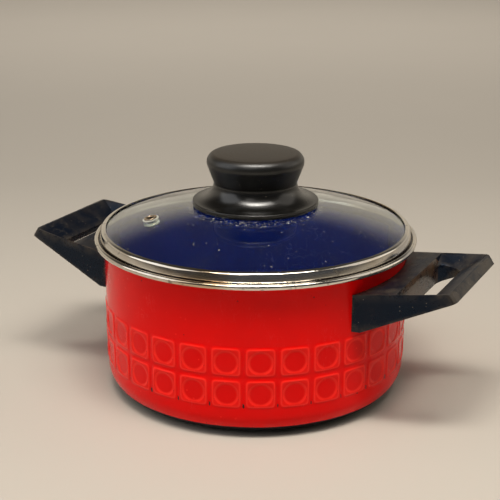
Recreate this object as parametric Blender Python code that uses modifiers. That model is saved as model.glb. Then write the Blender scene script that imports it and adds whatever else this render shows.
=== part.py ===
"""Two-handled enamel pot with a domed glass lid, as separate solids in metres.

Frame: the origin is the middle of the base, +Z is up and +X runs along the handles.
The lid's pieces are drawn from the lid's own datum, the top of the pot's rim ledge.
Each handle's pieces are drawn on the +X side, and turned about Z to where they belong.
"""
import math

import bmesh
import bpy
from mathutils import Matrix, Vector

# ---- fits ----
TOUCH_GAP = 0.0003            # left between two pieces that rest on each other
LID_PLAY = 0.0006             # radial play of the lid's skirt and flange in the pot

# ---- pot ----
INNER_DIAMETER = 0.180
POT_HEIGHT = 0.0926           # base to the top of the rim ledge
WALL = 0.0015
BASE_CORNER = 0.0155          # outer radius between base and wall
LEDGE_THICKNESS = 0.0010
LEDGE_REACH = 0.0049          # how far the ledge stands out past the wall
THROAT_ROUND = 0.0014         # inner radius between wall and ledge

# ---- steel band round the rim ----
BAND_SHEET = 0.0005
BAND_HALF_WIDTH = 0.0016
BAND_HALF_HEIGHT = 0.0017
BAND_MOUTH_ANGLE = 42.0       # half angle that the band leaves open towards the wall
BAND_SLACK = 0.0002           # room past the touching gap between the band and the ledge

# ---- handle ----
HANDLE_DROP = 0.01246         # rim ledge down to the handle's top at the wall
HANDLE_HEIGHT = 0.02156       # at the wall
HANDLE_LENGTH = 0.04364       # wall to the end of the top face
HANDLE_RISE_ANGLE = 7.9
HANDLE_WIDTH_AT_POT = 0.0865
HANDLE_WIDTH_AT_END = 0.0774
HANDLE_HEEL = 0.00513         # flat stretch of the underside at the wall
NOSE_OUT = 0.00325
NOSE_DOWN = 0.00462
HANDLE_EDGE_ROUND = 0.0008
RIDGE_WIDTH = 0.0013
GRIP_BLOCK = 0.0145           # wall to the finger opening
FINGER_GAP_LENGTH = 0.015
FINGER_GAP_WIDTH = 0.062
FINGER_GAP_CORNER = 0.0050
DISH_START = 0.001            # dish edge ahead of the opening on the block
DISH_START_DEPTH = 0.0036     # dish depth at the block side of the opening
DISH_DEPTH = 0.007            # dish depth at the far side of the opening
DISH_OVERSHOOT = (0.1, 0.3)   # how far its slopes run on below and above, as shares of them

# ---- handle fastening ----
LUG_PLATE_WIDTH = 0.034
LUG_PLATE_HEIGHT = 0.014
LUG_PLATE_THICKNESS = 0.0015
LUG_TONGUE_WIDTH = 0.024
LUG_TONGUE_THICKNESS = 0.002
LUG_TONGUE_REACH = 0.010
LUG_TONGUE_DROP = 0.0191      # rim ledge down to the tongue's top
HANDLE_SCREW_OUT = 0.0063     # wall to the screw's axis
HANDLE_FLOOR = 0.0037         # bakelite between the tongue and the screw's seat
HANDLE_SCREW_DIAMETER = 0.0035
HANDLE_SCREW_HEAD_DIAMETER = 0.007
HANDLE_SCREW_HEAD_HEIGHT = 0.0024
HANDLE_SCREW_END = 0.0008     # thread showing past the nut
HANDLE_WASHER_DIAMETER = 0.008
HANDLE_WASHER_THICKNESS = 0.0008
NUT_FLATS = 0.006
NUT_THICKNESS = 0.0028
DRIVER_SLOT = 0.0009          # width of the cross in each screw's head
DRIVER_REACH = 0.6            # its reach as a share of the head's radius

# ---- lid, heights above the rim ledge ----
DOME_RADIUS = 0.277           # of the outer face of the glass
GLASS_THICKNESS = 0.0035
GLASS_INSET = 0.0006          # glass edge to the inside of its band
GLASS_BED = 0.00053           # flange to the lower edge of the glass
LID_SHEET = 0.0006
LID_FLANGE = 0.0032           # how far the lid's flange reaches over the ledge
LID_SKIRT_DEPTH = 0.0058
LID_LIP = 0.0016              # how far the band laps over the glass
LID_ROLL = 0.0010             # radius of the roll between the band's wall and its lip
LID_BEAD = (0.0005, 0.0011)   # how far the bead at the band's foot stands out, and half its height
LID_THROAT = 0.0015           # radius between the flange and the skirt

# ---- steam vent ----
VENT_PLACE_RADIUS = 0.064
VENT_PLACE_ANGLE = 222.0
VENT_BORE_DIAMETER = 0.0044
VENT_TUBE_DIAMETER = 0.0058
VENT_FLANGE_DIAMETER = 0.0078
VENT_FLANGE_THICKNESS = 0.0005
VENT_FLANGE_ROUND = 0.0002
VENT_WASHER_DIAMETER = 0.0097
VENT_WASHER_THICKNESS = 0.0006
VENT_WASHER_LIFT = 0.0004     # flat washer above the curved glass

# ---- knob, heights above the top of the glass ----
KNOB_SEAT = 0.0018            # upper gasket with its gaps
SKIRT_DIAMETER = 0.0759
SKIRT_DROP = 0.0018           # top of the glass down to the skirt's rim
SKIRT_RIM_HEIGHT = 0.0030
SKIRT_WALL = 0.0026
SKIRT_ROOF = 0.0034           # thickness under the waist
WAIST_DIAMETER = 0.0502
WAIST_HEIGHT = 0.0118
CAP_DIAMETER = 0.0583
CAP_EDGE_HEIGHT = 0.0241
CAP_CROWN_HEIGHT = 0.0299
CAP_SHOULDER = (0.0046, 0.0053)   # how far the rounded shoulder reaches in and up
CAP_LIP = (0.0012, 0.0032)    # how far the edge below the widest line reaches in and down
SKIRT_BOSS_DIAMETER = 0.020
KNOB_SCREW_DIAMETER = 0.005
KNOB_SCREW_HEAD_DIAMETER = 0.009
KNOB_SCREW_HEAD_HEIGHT = 0.003
KNOB_SCREW_CLEARANCE = 0.0005
INSERT_DIAMETER = 0.009
INSERT_LENGTH = 0.012
SCREW_ENGAGEMENT = 0.010
GASKET_DIAMETER = 0.022
GASKET_THICKNESS = 0.0012
KNOB_WASHER_DIAMETER = 0.018
KNOB_WASHER_THICKNESS = 0.0012

# ---- fineness of the turned surfaces ----
RING_STEPS = 48
KNOB_STEPS = 40
SMALL_STEPS = 20
MERGE = 0.00001

# ---- levels and radii that follow ----
INNER_RADIUS = INNER_DIAMETER / 2
BODY_RADIUS = INNER_RADIUS + WALL
LEDGE_RADIUS = BODY_RADIUS + LEDGE_REACH
LEDGE_MIDDLE = POT_HEIGHT - LEDGE_THICKNESS / 2
BAND_CENTRE = LEDGE_RADIUS + TOUCH_GAP + BAND_SLACK + BAND_SHEET - BAND_HALF_WIDTH
BAND_MOUTH_RADIUS = BAND_CENTRE - BAND_HALF_WIDTH * math.cos(math.radians(BAND_MOUTH_ANGLE))
LID_FLANGE_RADIUS = min(INNER_RADIUS + LID_FLANGE + LID_SHEET, BAND_MOUTH_RADIUS - LID_PLAY)
LID_WALL_RADIUS = LID_FLANGE_RADIUS - LID_BEAD[0]
GLASS_RADIUS = LID_WALL_RADIUS - LID_SHEET - GLASS_INSET
GLASS_REST = TOUCH_GAP + LID_SHEET + GLASS_BED
DOME_CENTRE = GLASS_REST - math.sqrt((DOME_RADIUS - GLASS_THICKNESS) ** 2 - GLASS_RADIUS ** 2)
GLASS_TOP = DOME_CENTRE + DOME_RADIUS
GLASS_BOTTOM = GLASS_TOP - GLASS_THICKNESS


# ---------------------------------------------------------------- helpers

def clear_scene():
    """Remove every object so that the model starts alone."""
    for item in list(bpy.data.objects):
        bpy.data.objects.remove(item, do_unlink=True)


def make_collection(name):
    """A new collection in the scene."""
    collection = bpy.data.collections.new(name)
    bpy.context.scene.collection.children.link(collection)
    return collection


def finish(name, colour, roughness, metallic=0.0):
    """A Principled material with one colour."""
    made = bpy.data.materials.new(name)
    made.use_nodes = True
    shader = made.node_tree.nodes["Principled BSDF"]
    shader.inputs["Base Color"].default_value = (*colour, 1.0)
    shader.inputs["Roughness"].default_value = roughness
    shader.inputs["Metallic"].default_value = metallic
    return made


def arc(centre, radii, start, end, count):
    """Points on an ellipse from one angle to another, in degrees, both ends included."""
    turns = [math.radians(start + (end - start) * i / count) for i in range(count + 1)]
    return [(centre[0] + radii[0] * math.cos(t), centre[1] + radii[1] * math.sin(t)) for t in turns]


def dome_height(radius, sphere):
    """Height of a dome's surface, concentric with the glass, at a distance from the axis."""
    return DOME_CENTRE + math.sqrt(sphere * sphere - radius * radius)


class Maker:
    """Makes objects in one collection under one parent, and cutters beside them."""

    def __init__(self, parent, parts, cutters):
        self.parent = parent
        self.parts = parts
        self.cutters = cutters

    def place(self, mesh, name, material, smooth):
        """An object for a finished mesh; without a material it is a cutter."""
        item = bpy.data.objects.new(name, mesh)
        item.parent = self.parent
        if material is None:
            self.cutters.objects.link(item)
            item.hide_render = True
            item.display_type = "WIRE"
            return item
        self.parts.objects.link(item)
        mesh.materials.append(material)
        if smooth:
            mesh.shade_smooth()
            mesh.set_sharp_from_angle(angle=math.radians(35))
        return item

    def turned(self, name, profile, material=None, steps=RING_STEPS, closed=True, sheet=0.0):
        """A profile of (radius, height) points turned about the parent's Z axis.

        The profile runs up the inside and down the outside. With a sheet thickness
        it is the middle of a bent sheet, open at both ends.
        """
        mesh = bpy.data.meshes.new(name)
        count = len(profile)
        edges = [(i, i + 1) for i in range(count - 1)]
        if closed and not sheet:
            edges.append((count - 1, 0))
        mesh.from_pydata([(x, 0.0, z) for x, z in profile], edges, [])
        item = self.place(mesh, name, material, smooth=False)
        screw = item.modifiers.new("Turn", "SCREW")
        screw.steps = steps
        screw.render_steps = steps
        screw.use_merge_vertices = True
        screw.merge_threshold = MERGE
        screw.use_smooth_shade = True
        if sheet:
            solid = item.modifiers.new("Sheet", "SOLIDIFY")
            solid.thickness = sheet
            solid.offset = 0.0
            solid.use_even_offset = True
        return item

    def solid_turned(self, name, profile, material=None, steps=RING_STEPS):
        """A turned solid whose profile starts and ends on the axis."""
        return self.turned(name, profile, material, steps, closed=False)

    def ring(self, name, radii, heights, material=None, steps=SMALL_STEPS):
        """A flat ring or a short tube."""
        inner, outer = radii
        low, high = heights
        profile = [(inner, low), (inner, high), (outer, high), (outer, low)]
        return self.turned(name, profile, material, steps)

    def box(self, name, low, high, material=None):
        """A box between two corners."""
        mesh = bpy.data.meshes.new(name)
        shape = bmesh.new()
        bmesh.ops.create_cube(shape, size=1.0)
        size = [b - a for a, b in zip(low, high)]
        middle = [(a + b) / 2 for a, b in zip(low, high)]
        bmesh.ops.scale(shape, vec=size, verts=shape.verts)
        bmesh.ops.translate(shape, vec=middle, verts=shape.verts)
        shape.to_mesh(mesh)
        shape.free()
        return self.place(mesh, name, material, smooth=False)

    def rod(self, name, at, radius, heights, material=None, sides=SMALL_STEPS):
        """An upright cylinder, or a prism when it has few sides."""
        mesh = bpy.data.meshes.new(name)
        shape = bmesh.new()
        low, high = heights
        bmesh.ops.create_cone(shape, cap_ends=True, segments=sides, radius1=radius,
                              radius2=radius, depth=high - low)
        bmesh.ops.translate(shape, vec=(at[0], at[1], (low + high) / 2), verts=shape.verts)
        shape.to_mesh(mesh)
        shape.free()
        return self.place(mesh, name, material, smooth=False)

    def slab(self, name, outline, half_thickness, turn, material=None):
        """A flat outline given a thickness, then turned into place by a matrix."""
        curve = bpy.data.curves.new(name, "CURVE")
        curve.dimensions = "2D"
        curve.fill_mode = "BOTH"
        curve.extrude = half_thickness
        spline = curve.splines.new("POLY")
        spline.points.add(len(outline) - 1)
        for point, (x, y) in zip(spline.points, outline):
            point.co = (x, y, 0.0, 1.0)
        spline.use_cyclic_u = True
        drawn = bpy.data.objects.new(name + "_outline", curve)
        self.cutters.objects.link(drawn)
        bpy.context.view_layer.update()
        graph = bpy.context.evaluated_depsgraph_get()
        mesh = bpy.data.meshes.new_from_object(drawn.evaluated_get(graph))
        bpy.data.objects.remove(drawn, do_unlink=True)
        bpy.data.curves.remove(curve)
        shape = bmesh.new()
        shape.from_mesh(mesh)
        bmesh.ops.remove_doubles(shape, verts=shape.verts, dist=MERGE)
        bmesh.ops.transform(shape, matrix=turn, verts=shape.verts)
        bmesh.ops.recalc_face_normals(shape, faces=shape.faces)
        shape.to_mesh(mesh)
        shape.free()
        mesh.name = name
        return self.place(mesh, name, material, smooth=False)

    def hull(self, name, corners, material=None):
        """The convex solid around a few corners."""
        mesh = bpy.data.meshes.new(name)
        shape = bmesh.new()
        for corner in corners:
            shape.verts.new(corner)
        bmesh.ops.convex_hull(shape, input=shape.verts)
        bmesh.ops.recalc_face_normals(shape, faces=shape.faces)
        shape.to_mesh(mesh)
        shape.free()
        return self.place(mesh, name, material, smooth=False)


def combine(item, other, operation):
    """Cut, join or keep the overlap of one solid with a cutter."""
    step = item.modifiers.new(other.name, "BOOLEAN")
    step.operation = operation
    step.object = other
    step.solver = "EXACT"


def cross_slot(maker, name, at, radius, heights):
    """Two crossed boxes that cut a screwdriver recess."""
    low, high = heights
    for suffix, half_x, half_y in (("a", radius, DRIVER_SLOT / 2), ("b", DRIVER_SLOT / 2, radius)):
        yield maker.box(name + "_" + suffix, (at[0] - half_x, at[1] - half_y, low),
                        (at[0] + half_x, at[1] + half_y, high))


# ---------------------------------------------------------------- pot

def build_pot(maker, finishes):
    """The enamelled body with its outward ledge, and the steel band crimped round it."""
    inner_corner = BASE_CORNER - WALL
    under_ledge = POT_HEIGHT - LEDGE_THICKNESS
    edge = LEDGE_THICKNESS / 2
    profile = [(0.0, WALL)]
    profile += arc((INNER_RADIUS - inner_corner, WALL + inner_corner), (inner_corner,) * 2, -90, 0, 5)
    profile += arc((INNER_RADIUS + THROAT_ROUND, POT_HEIGHT - THROAT_ROUND),
                   (THROAT_ROUND,) * 2, 180, 90, 3)
    profile += arc((LEDGE_RADIUS - edge, LEDGE_MIDDLE), (edge,) * 2, 90, -90, 2)
    profile += arc((BODY_RADIUS + THROAT_ROUND, under_ledge - THROAT_ROUND),
                   (THROAT_ROUND,) * 2, 90, 180, 3)
    profile += arc((BODY_RADIUS - BASE_CORNER, BASE_CORNER), (BASE_CORNER,) * 2, 0, -90, 5)
    profile.append((0.0, 0.0))
    maker.solid_turned("pot_body", profile, finishes["enamel"])

    half_sheet = BAND_SHEET / 2
    middle = (BAND_CENTRE, LEDGE_MIDDLE)
    radii = (BAND_HALF_WIDTH - half_sheet, BAND_HALF_HEIGHT - half_sheet)
    mouth = BAND_MOUTH_ANGLE
    maker.turned("rim_band", arc(middle, radii, 180 - mouth, mouth - 180, 8),
                 finishes["steel"], sheet=BAND_SHEET)


# ---------------------------------------------------------------- handles

def handle_half_width(reach):
    """Half the handle's width at a distance from the pot's axis."""
    start = math.sqrt(BODY_RADIUS ** 2 - (HANDLE_WIDTH_AT_POT / 2) ** 2)
    end = BODY_RADIUS + HANDLE_LENGTH
    share = (reach - start) / (end - start)
    return (HANDLE_WIDTH_AT_POT + (HANDLE_WIDTH_AT_END - HANDLE_WIDTH_AT_POT) * share) / 2


def handle_top(reach):
    """Height of the handle's top face at a distance from the pot's axis."""
    start = math.sqrt(BODY_RADIUS ** 2 - (HANDLE_WIDTH_AT_POT / 2) ** 2)
    return POT_HEIGHT - HANDLE_DROP + (reach - start) * math.tan(math.radians(HANDLE_RISE_ANGLE))


def rounded_rectangle(low, high, radius, count=4):
    """Corner points of a rectangle with round corners, anticlockwise."""
    points = []
    middles = ((high[0] - radius, high[1] - radius, 0), (low[0] + radius, high[1] - radius, 90),
               (low[0] + radius, low[1] + radius, 180), (high[0] - radius, low[1] + radius, 270))
    for x, y, start in middles:
        points += arc((x, y), (radius, radius), start, start + 90, count)
    return points


def build_handle(maker, side, finishes):
    """The bakelite grip with its finger opening, dish, lug pocket and screw hole."""
    start = math.sqrt(BODY_RADIUS ** 2 - (HANDLE_WIDTH_AT_POT / 2) ** 2)
    end = BODY_RADIUS + HANDLE_LENGTH
    inside = start - 2 * WALL
    bottom = POT_HEIGHT - HANDLE_DROP - HANDLE_HEIGHT
    nose = (end + NOSE_OUT, handle_top(end) - NOSE_DOWN)
    side_view = [(inside, bottom), (start + HANDLE_HEEL, bottom), nose,
                 (end, handle_top(end)), (inside, handle_top(inside))]
    upright = Matrix.Rotation(math.radians(90), 4, "X")
    half_pot_end = HANDLE_WIDTH_AT_POT / 2
    grip = maker.slab(side + "_handle", side_view, half_pot_end, upright, finishes["bakelite"])
    for point in grip.data.vertices:
        point.co.y = math.copysign(handle_half_width(point.co.x), point.co.y)
    rounding = grip.modifiers.new("Edges", "BEVEL")
    rounding.width = HANDLE_EDGE_ROUND
    rounding.segments = 2
    rounding.limit_method = "ANGLE"

    wall = BODY_RADIUS + TOUCH_GAP
    combine(grip, maker.solid_turned(side + "_cut_wall", [(0.0, POT_HEIGHT), (wall, POT_HEIGHT),
                                                          (wall, 0.0), (0.0, 0.0)]), "DIFFERENCE")
    gap_start = BODY_RADIUS + GRIP_BLOCK
    gap_end = gap_start + FINGER_GAP_LENGTH
    half_gap = FINGER_GAP_WIDTH / 2
    opening = rounded_rectangle((gap_start, -half_gap), (gap_end, half_gap), FINGER_GAP_CORNER)
    lift = Matrix.Translation((0.0, 0.0, handle_top(gap_end)))
    combine(grip, maker.slab(side + "_cut_gap", opening, HANDLE_HEIGHT * 2, lift), "DIFFERENCE")

    lower = [(gap_start, handle_top(gap_start) - DISH_START_DEPTH),
             (gap_end, handle_top(gap_end) - DISH_DEPTH)]
    upper = [gap_start - DISH_START, end - RIDGE_WIDTH]
    corners = []
    below, above = DISH_OVERSHOOT
    for (low_x, low_z), high_x in zip(lower, upper):
        for sign in (-1, 1):
            low = Vector((low_x, sign * half_gap, low_z))
            high = Vector((high_x, sign * (handle_half_width(high_x) - RIDGE_WIDTH), handle_top(high_x)))
            corners += [low - (high - low) * below, high + (high - low) * above]
    combine(grip, maker.hull(side + "_cut_dish", corners), "DIFFERENCE")

    tongue_top = POT_HEIGHT - LUG_TONGUE_DROP
    tongue_bottom = tongue_top - LUG_TONGUE_THICKNESS
    plate_middle = (tongue_top + tongue_bottom) / 2
    plate_low = plate_middle - LUG_PLATE_HEIGHT / 2
    plate_high = plate_middle + LUG_PLATE_HEIGHT / 2
    plate_out = BODY_RADIUS + TOUCH_GAP + LUG_PLATE_THICKNESS
    half_plate = LUG_PLATE_WIDTH / 2 + TOUCH_GAP
    combine(grip, maker.box(side + "_cut_plate", (inside, -half_plate, plate_low - TOUCH_GAP),
                            (plate_out + TOUCH_GAP, half_plate, plate_high + TOUCH_GAP)), "DIFFERENCE")
    nut_bottom = tongue_top + TOUCH_GAP
    nut_top = nut_bottom + NUT_THICKNESS
    screw_end = nut_top + HANDLE_SCREW_END
    tongue_end = BODY_RADIUS + LUG_TONGUE_REACH
    half_tongue = LUG_TONGUE_WIDTH / 2 + TOUCH_GAP
    combine(grip, maker.box(side + "_cut_slot", (inside, -half_tongue, tongue_bottom - TOUCH_GAP),
                            (tongue_end + TOUCH_GAP, half_tongue, screw_end + TOUCH_GAP)), "DIFFERENCE")

    axis = (BODY_RADIUS + HANDLE_SCREW_OUT, 0.0)
    shank = HANDLE_SCREW_DIAMETER / 2
    seat = tongue_bottom - TOUCH_GAP - HANDLE_FLOOR
    bore = maker.rod(side + "_cut_bore", axis, shank + TOUCH_GAP, (bottom, tongue_top))
    combine(grip, bore, "DIFFERENCE")
    combine(grip, maker.rod(side + "_cut_seat", axis, HANDLE_WASHER_DIAMETER / 2 + TOUCH_GAP,
                            (bottom - WALL, seat)), "DIFFERENCE")

    lug = maker.ring(side + "_handle_lug", (BODY_RADIUS + TOUCH_GAP, plate_out),
                     (plate_low, plate_high), finishes["plate"], steps=RING_STEPS)
    width = LUG_PLATE_WIDTH / 2
    combine(lug, maker.box(side + "_keep_plate", (inside, -width, plate_low - WALL),
                           (tongue_end, width, plate_high + WALL)), "INTERSECT")
    half_tongue = LUG_TONGUE_WIDTH / 2
    tongue_start = BODY_RADIUS + TOUCH_GAP + LUG_PLATE_THICKNESS / 2
    combine(lug, maker.box(side + "_add_tongue", (tongue_start, -half_tongue, tongue_bottom),
                           (tongue_end, half_tongue, tongue_top)), "UNION")
    combine(lug, maker.rod(side + "_cut_tongue", axis, shank + TOUCH_GAP,
                           (tongue_bottom - WALL, tongue_top + WALL)), "DIFFERENCE")

    nut = maker.rod(side + "_handle_nut", axis, NUT_FLATS / math.sqrt(3), (nut_bottom, nut_top),
                    finishes["plate"], sides=6)
    combine(nut, maker.rod(side + "_cut_nut", axis, shank + TOUCH_GAP,
                           (nut_bottom - WALL, nut_top + WALL)), "DIFFERENCE")

    washer_top = seat - TOUCH_GAP
    washer_bottom = washer_top - HANDLE_WASHER_THICKNESS
    washer = maker.ring(side + "_handle_washer", (shank + TOUCH_GAP, HANDLE_WASHER_DIAMETER / 2),
                        (washer_bottom, washer_top), finishes["plate"])
    washer.location.x = axis[0]
    head_top = washer_bottom - TOUCH_GAP
    head_bottom = head_top - HANDLE_SCREW_HEAD_HEIGHT
    head = HANDLE_SCREW_HEAD_DIAMETER / 2
    crown = HANDLE_SCREW_HEAD_HEIGHT / 2
    profile = [(0.0, screw_end), (shank, screw_end), (shank, head_top), (head, head_top),
               (head, head_bottom + crown)]
    profile += arc((head - crown, head_bottom + crown), (crown, crown), -30, -90, 2)
    profile.append((0.0, head_bottom))
    screw = maker.solid_turned(side + "_handle_screw", profile, finishes["plate"], SMALL_STEPS)
    screw.location.x = axis[0]
    for slot in cross_slot(maker, side + "_cut_driver", axis, head * DRIVER_REACH,
                           (head_bottom - WALL, head_bottom + crown)):
        combine(screw, slot, "DIFFERENCE")


# ---------------------------------------------------------------- lid

def build_lid_band(maker, finishes):
    """The sheet ring that holds the glass, rests on the ledge and drops into the pot."""
    half = LID_SHEET / 2
    seat = TOUCH_GAP + half
    wall = LID_WALL_RADIUS - half
    skirt = INNER_RADIUS - LID_PLAY - half
    lip_start = GLASS_RADIUS - LID_LIP
    lip = dome_height(lip_start, DOME_RADIUS) + TOUCH_GAP + half
    out, rise = LID_BEAD
    profile = [(lip_start, lip)]
    profile += arc((wall - LID_ROLL, lip - LID_ROLL), (LID_ROLL, LID_ROLL), 90, 0, 3)
    profile += arc((wall, seat + rise), (out, rise), 90, -90, 4)
    profile += arc((skirt + LID_THROAT, seat - LID_THROAT), (LID_THROAT, LID_THROAT), 90, 180, 3)
    profile.append((skirt, seat - LID_SKIRT_DEPTH))
    maker.turned("lid_band", profile, finishes["steel"], sheet=LID_SHEET)


def build_glass(maker, finishes):
    """The domed glass with a hole for the knob's screw and one for the vent."""
    inner = DOME_RADIUS - GLASS_THICKNESS
    rings = 6
    radii = [GLASS_RADIUS * i / rings for i in range(rings + 1)]
    profile = [(r, dome_height(r, DOME_RADIUS)) for r in radii]
    profile += [(r, dome_height(r, inner)) for r in reversed(radii)]
    glass = maker.solid_turned("lid_glass", profile, finishes["glass"])
    hole = KNOB_SCREW_DIAMETER / 2 + KNOB_SCREW_CLEARANCE
    combine(glass, maker.rod("cut_knob_hole", (0.0, 0.0), hole,
                             (GLASS_BOTTOM - WALL, GLASS_TOP + WALL)), "DIFFERENCE")
    return glass


def build_vent(maker, glass, finishes):
    """A riveted steel eyelet with a washer on each face of the glass."""
    reach = GLASS_THICKNESS * 2
    hole = maker.rod("cut_vent_hole", (0.0, 0.0), VENT_TUBE_DIAMETER / 2 + TOUCH_GAP, (-reach, reach))
    combine(glass, hole, "DIFFERENCE")
    bore = VENT_BORE_DIAMETER / 2
    tube = VENT_TUBE_DIAMETER / 2
    flange = VENT_FLANGE_DIAMETER / 2
    washer = (tube + TOUCH_GAP, VENT_WASHER_DIAMETER / 2)
    top = (VENT_WASHER_LIFT, VENT_WASHER_LIFT + VENT_WASHER_THICKNESS)
    low = -GLASS_THICKNESS - VENT_WASHER_LIFT
    under = (low - VENT_WASHER_THICKNESS, low)
    flange_top = top[1] + TOUCH_GAP
    flange_low = under[0] - TOUCH_GAP
    high = flange_top + VENT_FLANGE_THICKNESS
    bottom = flange_low - VENT_FLANGE_THICKNESS
    edge = VENT_FLANGE_ROUND
    profile = [(bore, bottom), (bore, high - edge), (bore + edge, high), (flange - edge, high),
               (flange, high - edge), (flange, flange_top), (tube, flange_top), (tube, flange_low),
               (flange, flange_low), (flange, bottom)]
    pieces = [hole, maker.turned("vent_eyelet", profile, finishes["steel"], SMALL_STEPS),
              maker.ring("vent_washer_top", washer, top, finishes["rubber"]),
              maker.ring("vent_washer_bottom", washer, under, finishes["rubber"])]
    lean = math.asin(VENT_PLACE_RADIUS / DOME_RADIUS)
    turn = math.radians(VENT_PLACE_ANGLE)
    for piece in pieces:
        piece.location = (VENT_PLACE_RADIUS * math.cos(turn), VENT_PLACE_RADIUS * math.sin(turn),
                          dome_height(VENT_PLACE_RADIUS, DOME_RADIUS))
        piece.rotation_euler = (0.0, lean, turn)


def flare_points(waist, rim, high, low, count=6):
    """A quarter of an ellipse that leaves the waist upright and meets the rim level."""
    width, height = rim - waist, high - low
    turns = [math.radians(90 * i / count) for i in range(count + 1)]
    return [(rim - width * math.cos(t), high - height * math.sin(t)) for t in turns]


def build_knob(maker, finishes):
    """Flared skirt and cap on the glass, held by a screw from below."""
    base = GLASS_TOP
    waist = WAIST_DIAMETER / 2
    rim = SKIRT_DIAMETER / 2
    rim_low = base - SKIRT_DROP
    rim_high = rim_low + SKIRT_RIM_HEIGHT
    waist_high = base + WAIST_HEIGHT
    seat = base + KNOB_SEAT
    bore = KNOB_SCREW_DIAMETER / 2 + KNOB_SCREW_CLEARANCE
    boss = SKIRT_BOSS_DIAMETER / 2
    roof = waist_high - SKIRT_ROOF
    hollow = flare_points(waist - SKIRT_WALL, rim - SKIRT_WALL, roof, rim_low, 4)
    profile = [(bore, seat), (bore, waist_high)] + flare_points(waist, rim, waist_high, rim_high)
    profile += [(rim, rim_low)] + list(reversed(hollow)) + [(boss, roof), (boss, seat)]
    maker.turned("knob_skirt", profile, finishes["bakelite"], KNOB_STEPS)

    cap = CAP_DIAMETER / 2
    neck_low = waist_high + TOUCH_GAP
    edge = base + CAP_EDGE_HEIGHT
    crown = base + CAP_CROWN_HEIGHT
    pocket = INSERT_DIAMETER / 2 + TOUCH_GAP
    pocket_top = neck_low + INSERT_LENGTH + 2 * TOUCH_GAP
    flat = cap - CAP_SHOULDER[0]
    shoulder = edge + CAP_SHOULDER[1]
    profile = arc((0.0, shoulder), (flat, crown - shoulder), 90, 30, 2)
    profile[0] = (0.0, crown)
    profile += arc((flat, edge), CAP_SHOULDER, 90, 0, 5)
    profile += arc((cap - CAP_LIP[0], edge), CAP_LIP, 0, -60, 2)[1:]
    profile += [(waist, neck_low), (pocket, neck_low), (pocket, pocket_top), (0.0, pocket_top)]
    maker.solid_turned("knob_grip", profile, finishes["bakelite"], KNOB_STEPS)

    insert_low = neck_low + TOUCH_GAP
    thread = KNOB_SCREW_DIAMETER / 2 + TOUCH_GAP
    maker.ring("knob_insert", (thread, INSERT_DIAMETER / 2), (insert_low, insert_low + INSERT_LENGTH),
               finishes["brass"])
    maker.ring("knob_gasket_upper", (bore, boss), (base + TOUCH_GAP, seat - TOUCH_GAP),
               finishes["rubber"])
    gasket = GASKET_DIAMETER / 2
    gasket_high = dome_height(gasket, DOME_RADIUS - GLASS_THICKNESS) - TOUCH_GAP
    gasket_low = gasket_high - GASKET_THICKNESS
    maker.ring("knob_gasket_lower", (bore, gasket), (gasket_low, gasket_high), finishes["rubber"])
    washer_high = gasket_low - TOUCH_GAP
    washer_low = washer_high - KNOB_WASHER_THICKNESS
    maker.ring("knob_washer", (bore, KNOB_WASHER_DIAMETER / 2), (washer_low, washer_high),
               finishes["steel"])
    head_high = washer_low - TOUCH_GAP
    head_low = head_high - KNOB_SCREW_HEAD_HEIGHT
    head = KNOB_SCREW_HEAD_DIAMETER / 2
    shank = KNOB_SCREW_DIAMETER / 2
    crown = KNOB_SCREW_HEAD_HEIGHT / 2
    profile = [(0.0, insert_low + SCREW_ENGAGEMENT), (shank, insert_low + SCREW_ENGAGEMENT),
               (shank, head_high), (head, head_high), (head, head_low + crown)]
    profile += arc((head - crown, head_low + crown), (crown, crown), -30, -90, 2)
    profile.append((0.0, head_low))
    screw = maker.solid_turned("knob_screw", profile, finishes["plate"], SMALL_STEPS)
    for slot in cross_slot(maker, "cut_knob_driver", (0.0, 0.0), head * DRIVER_REACH,
                           (head_low - WALL, head_low + crown)):
        combine(screw, slot, "DIFFERENCE")


# ---------------------------------------------------------------- assembly

def make_frame(name, collection, location=(0.0, 0.0, 0.0), turn=0.0):
    """An empty that carries a group of pieces."""
    frame = bpy.data.objects.new(name, None)
    frame.location = location
    frame.rotation_euler = (0.0, 0.0, math.radians(turn))
    collection.objects.link(frame)
    return frame


def main():
    """Build the pot, its two handles and the lid."""
    clear_scene()
    parts = make_collection("enamel_pot")
    cutters = make_collection("cutters")
    finishes = {
        "enamel": finish("red_enamel", (0.60, 0.012, 0.010), 0.12),
        "steel": finish("polished_steel", (0.72, 0.70, 0.66), 0.14, 1.0),
        "plate": finish("zinc_plate", (0.55, 0.55, 0.53), 0.35, 1.0),
        "bakelite": finish("dark_bakelite", (0.035, 0.026, 0.020), 0.38),
        "glass": finish("lid_glass", (0.75, 0.82, 0.80), 0.03),
        "brass": finish("insert_brass", (0.70, 0.50, 0.20), 0.30, 1.0),
        "rubber": finish("silicone", (0.55, 0.54, 0.50), 0.60),
    }
    pot_frame = make_frame("pot_frame", parts)
    build_pot(Maker(pot_frame, parts, cutters), finishes)
    for side, turn in (("right", 0.0), ("left", 180.0)):
        build_handle(Maker(make_frame(side + "_frame", parts, turn=turn), parts, cutters), side, finishes)
    lid = Maker(make_frame("lid_frame", parts, (0.0, 0.0, POT_HEIGHT)), parts, cutters)
    build_lid_band(lid, finishes)
    glass = build_glass(lid, finishes)
    build_vent(lid, glass, finishes)
    build_knob(lid, finishes)


main()
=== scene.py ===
"""Looks of the two-handled enamel pot with its domed glass lid.

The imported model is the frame. Every piece below is drawn in metres in that frame, stands for
the plain node that it replaces, and rides on the pot or on the lid.
"""
import logging
import math
from dataclasses import dataclass, field
from enum import Enum
from typing import Any, Iterable, Sequence

import bmesh
import bpy
from mathutils import Matrix, Vector


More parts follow.
